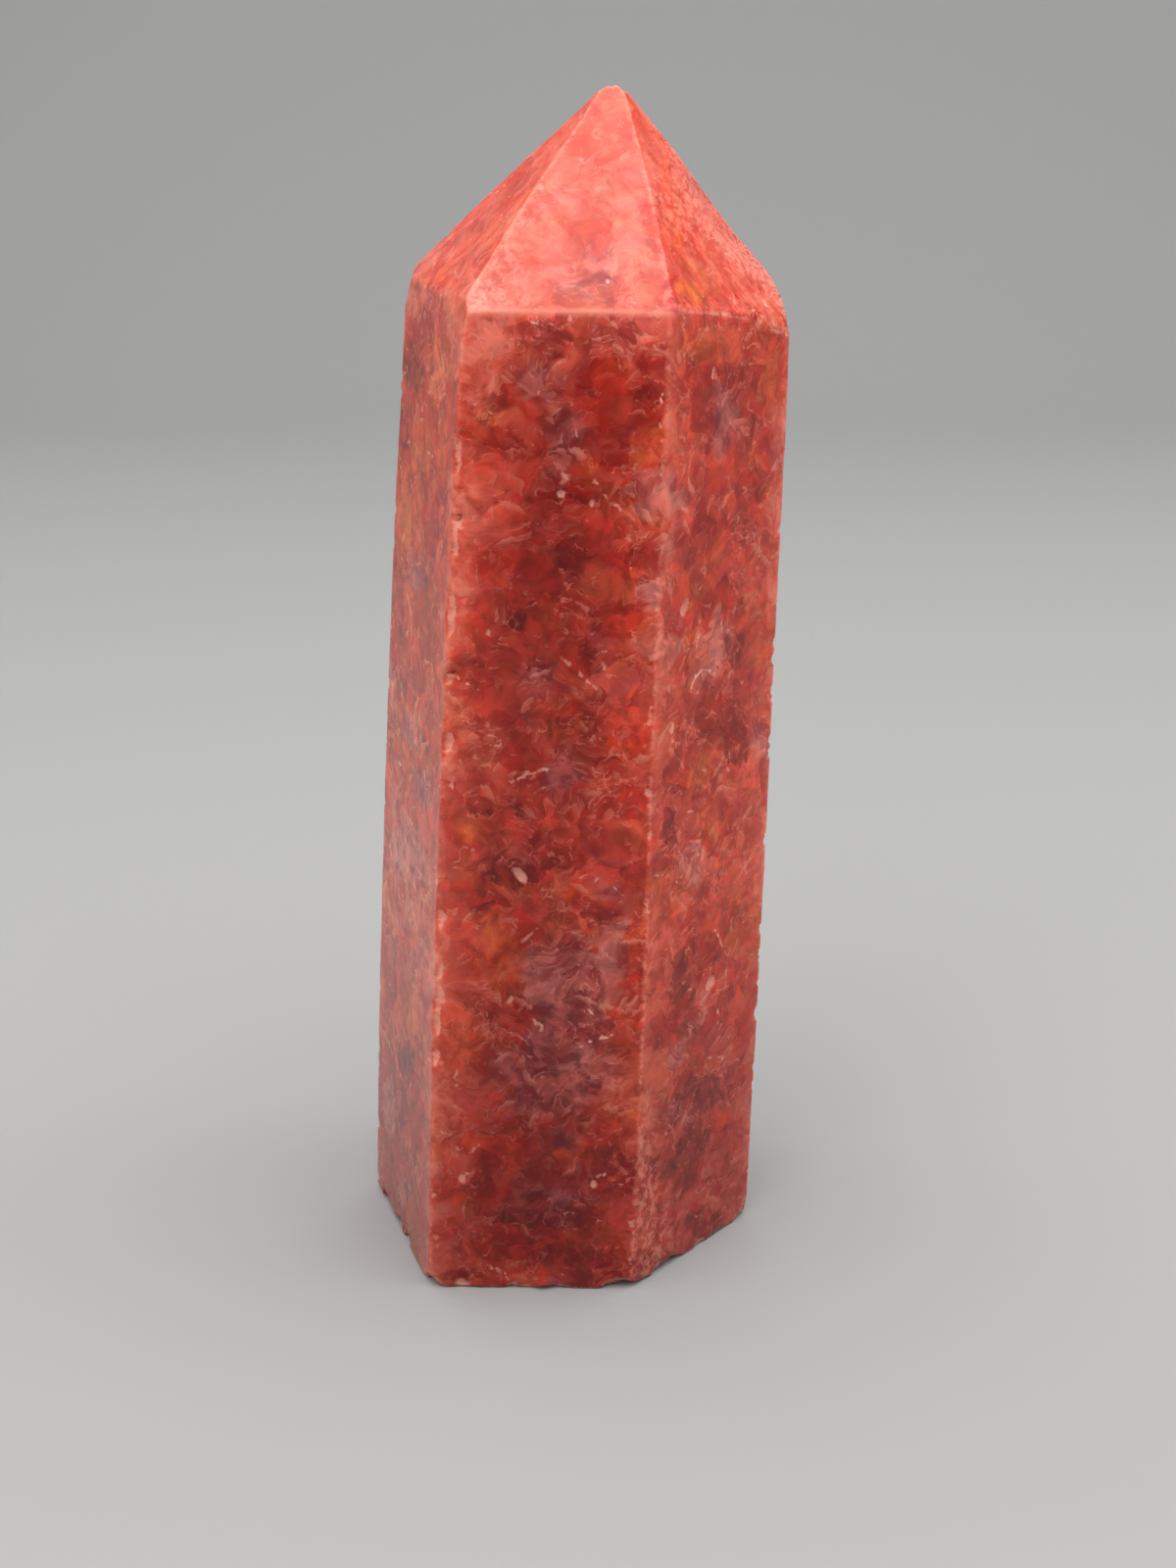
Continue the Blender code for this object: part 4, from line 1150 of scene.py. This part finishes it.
    # ---- worn arrises and fresh breaks are pale; along the crease the pale line is also a painted highlight
    hurt = g.attr("broken")
    rub = field(P, 1.5, 3.0, 0.65, (0.0, 5.0, 2.0))
    crease = g.attr("crease")
    rubbed_edge_and_crease_highlight = g.mul(g.step(gap, g.mad(crease, 0.04, 0.34), 0.03), g.hi(g.step(rub, 0.44, 0.62), g.mul(crease, 0.9)))
    col = g.mix(g.mul(rubbed_edge_and_crease_highlight, g.mad(crease, 0.30, 0.45)), col, (0.870, 0.320, 0.230))
    col = g.mix(g.mul(g.step(hurt, 0.20, 1.0), g.mad(rub, 0.9, 0.20)), col, (0.860, 0.380, 0.285))

    t.links.new(col, bsdf.inputs["Base Color"])
    bsdf.inputs["Metallic"].default_value = 0.0
    bsdf.inputs["IOR"].default_value = 1.54
    bsdf.inputs["Specular IOR Level"].default_value = 0.26
    bsdf.inputs["Subsurface Weight"].default_value = 0.45
    bsdf.inputs["Subsurface Radius"].default_value = (1.0, 0.30, 0.20)
    bsdf.inputs["Subsurface Scale"].default_value = 0.003
    rough = g.mixf(g.hi(g.step(hurt, 0.05, 0.6), g.mul(scuff, 0.7)), g.mixf(g.step(rub, 0.3, 0.8), 0.13, 0.21), 0.5)
    t.links.new(rough, bsdf.inputs["Roughness"])

    fine = field(P, 3.0, 3.0, 0.6, (8.0, 1.0, 4.0))
    bump = g.node("ShaderNodeBump")
    bump.inputs["Strength"].default_value = 1.0
    bump.inputs["Distance"].default_value = 0.001
    t.links.new(g.mul(fine, 0.006), bump.inputs["Height"])
    t.links.new(bump.outputs[0], bsdf.inputs["Normal"])
    return mat


stone.data.materials.append(stone_material())
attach(stone, "root")
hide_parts(NODE)


# ------------------------------------------------------- floor, light, camera
def plain(name, colour, rough):
    m = bpy.data.materials.new(name)
    m.use_nodes = True
    b = m.node_tree.nodes["Principled BSDF"]
    b.inputs["Base Color"].default_value = (*colour, 1)
    b.inputs["Roughness"].default_value = rough
    b.inputs["Specular IOR Level"].default_value = 0.2
    return m


def sweep():
    """A floor that turns up into a backdrop in one curve."""
    profile = [(-1.2, 0.0), (0.42, 0.0)]
    r = 0.25
    for k in range(1, 17):
        a = math.pi / 2 * k / 16
        profile.append((0.42 + r * math.sin(a), r * (1 - math.cos(a))))
    profile.append((0.67, 1.1))
    verts, faces = [], []
    for y, z in profile:
        verts += [(-1.6, y, z), (1.6, y, z)]
    for k in range(len(profile) - 1):
        faces.append((2 * k, 2 * k + 1, 2 * k + 3, 2 * k + 2))
    m = bpy.data.meshes.new("floor")
    m.from_pydata(verts, [], faces)
    m.shade_smooth()
    o = bpy.data.objects.new("floor", m)
    bpy.context.scene.collection.objects.link(o)
    m.materials.append(plain("pale floor", (0.33, 0.328, 0.325), 0.6))


sweep()


def softbox(name, place, aim, size, power, colour=(1, 1, 1)):
    d = bpy.data.lights.new(name, "AREA")
    d.shape = "RECTANGLE"
    d.size, d.size_y = size
    d.energy = power
    d.color = colour
    o = bpy.data.objects.new(name, d)
    o.location = place
    v = np.array(aim) - np.array(place)
    from mathutils import Vector
    o.rotation_euler = Vector(v).to_track_quat("-Z", "Y").to_euler()
    bpy.context.scene.collection.objects.link(o)


softbox("overhead", (0.0, -0.02, 0.50), (0, 0, 0.05), (0.95, 0.80), 6.4)
softbox("front fill", (-0.35, -0.62, 0.45), (0, 0, 0.05), (0.5, 0.5), 1.3)
softbox("right", (0.60, 0.05, 0.30), (0, 0, 0.05), (0.35, 0.5), 1.0)

world = bpy.data.worlds.new("soft grey")
world.use_nodes = True
world.node_tree.nodes["Background"].inputs[0].default_value = (0.80, 0.80, 0.81, 1)
world.node_tree.nodes["Background"].inputs[1].default_value = 0.36
bpy.context.scene.world = world

cam = bpy.data.cameras.new("camera")
cam.sensor_width = 36.0
cam.lens = 2298.64 / 1600 * 36.0
cam.clip_start = 0.01
cam_obj = bpy.data.objects.new("camera", cam)
cam_obj.location = (0.001913, -0.187975, 0.104714)
cam_obj.rotation_euler = (math.radians(90 - 18.693), 0, 0)
bpy.context.scene.collection.objects.link(cam_obj)
bpy.context.scene.camera = cam_obj
bpy.context.scene.view_settings.view_transform = "Standard"
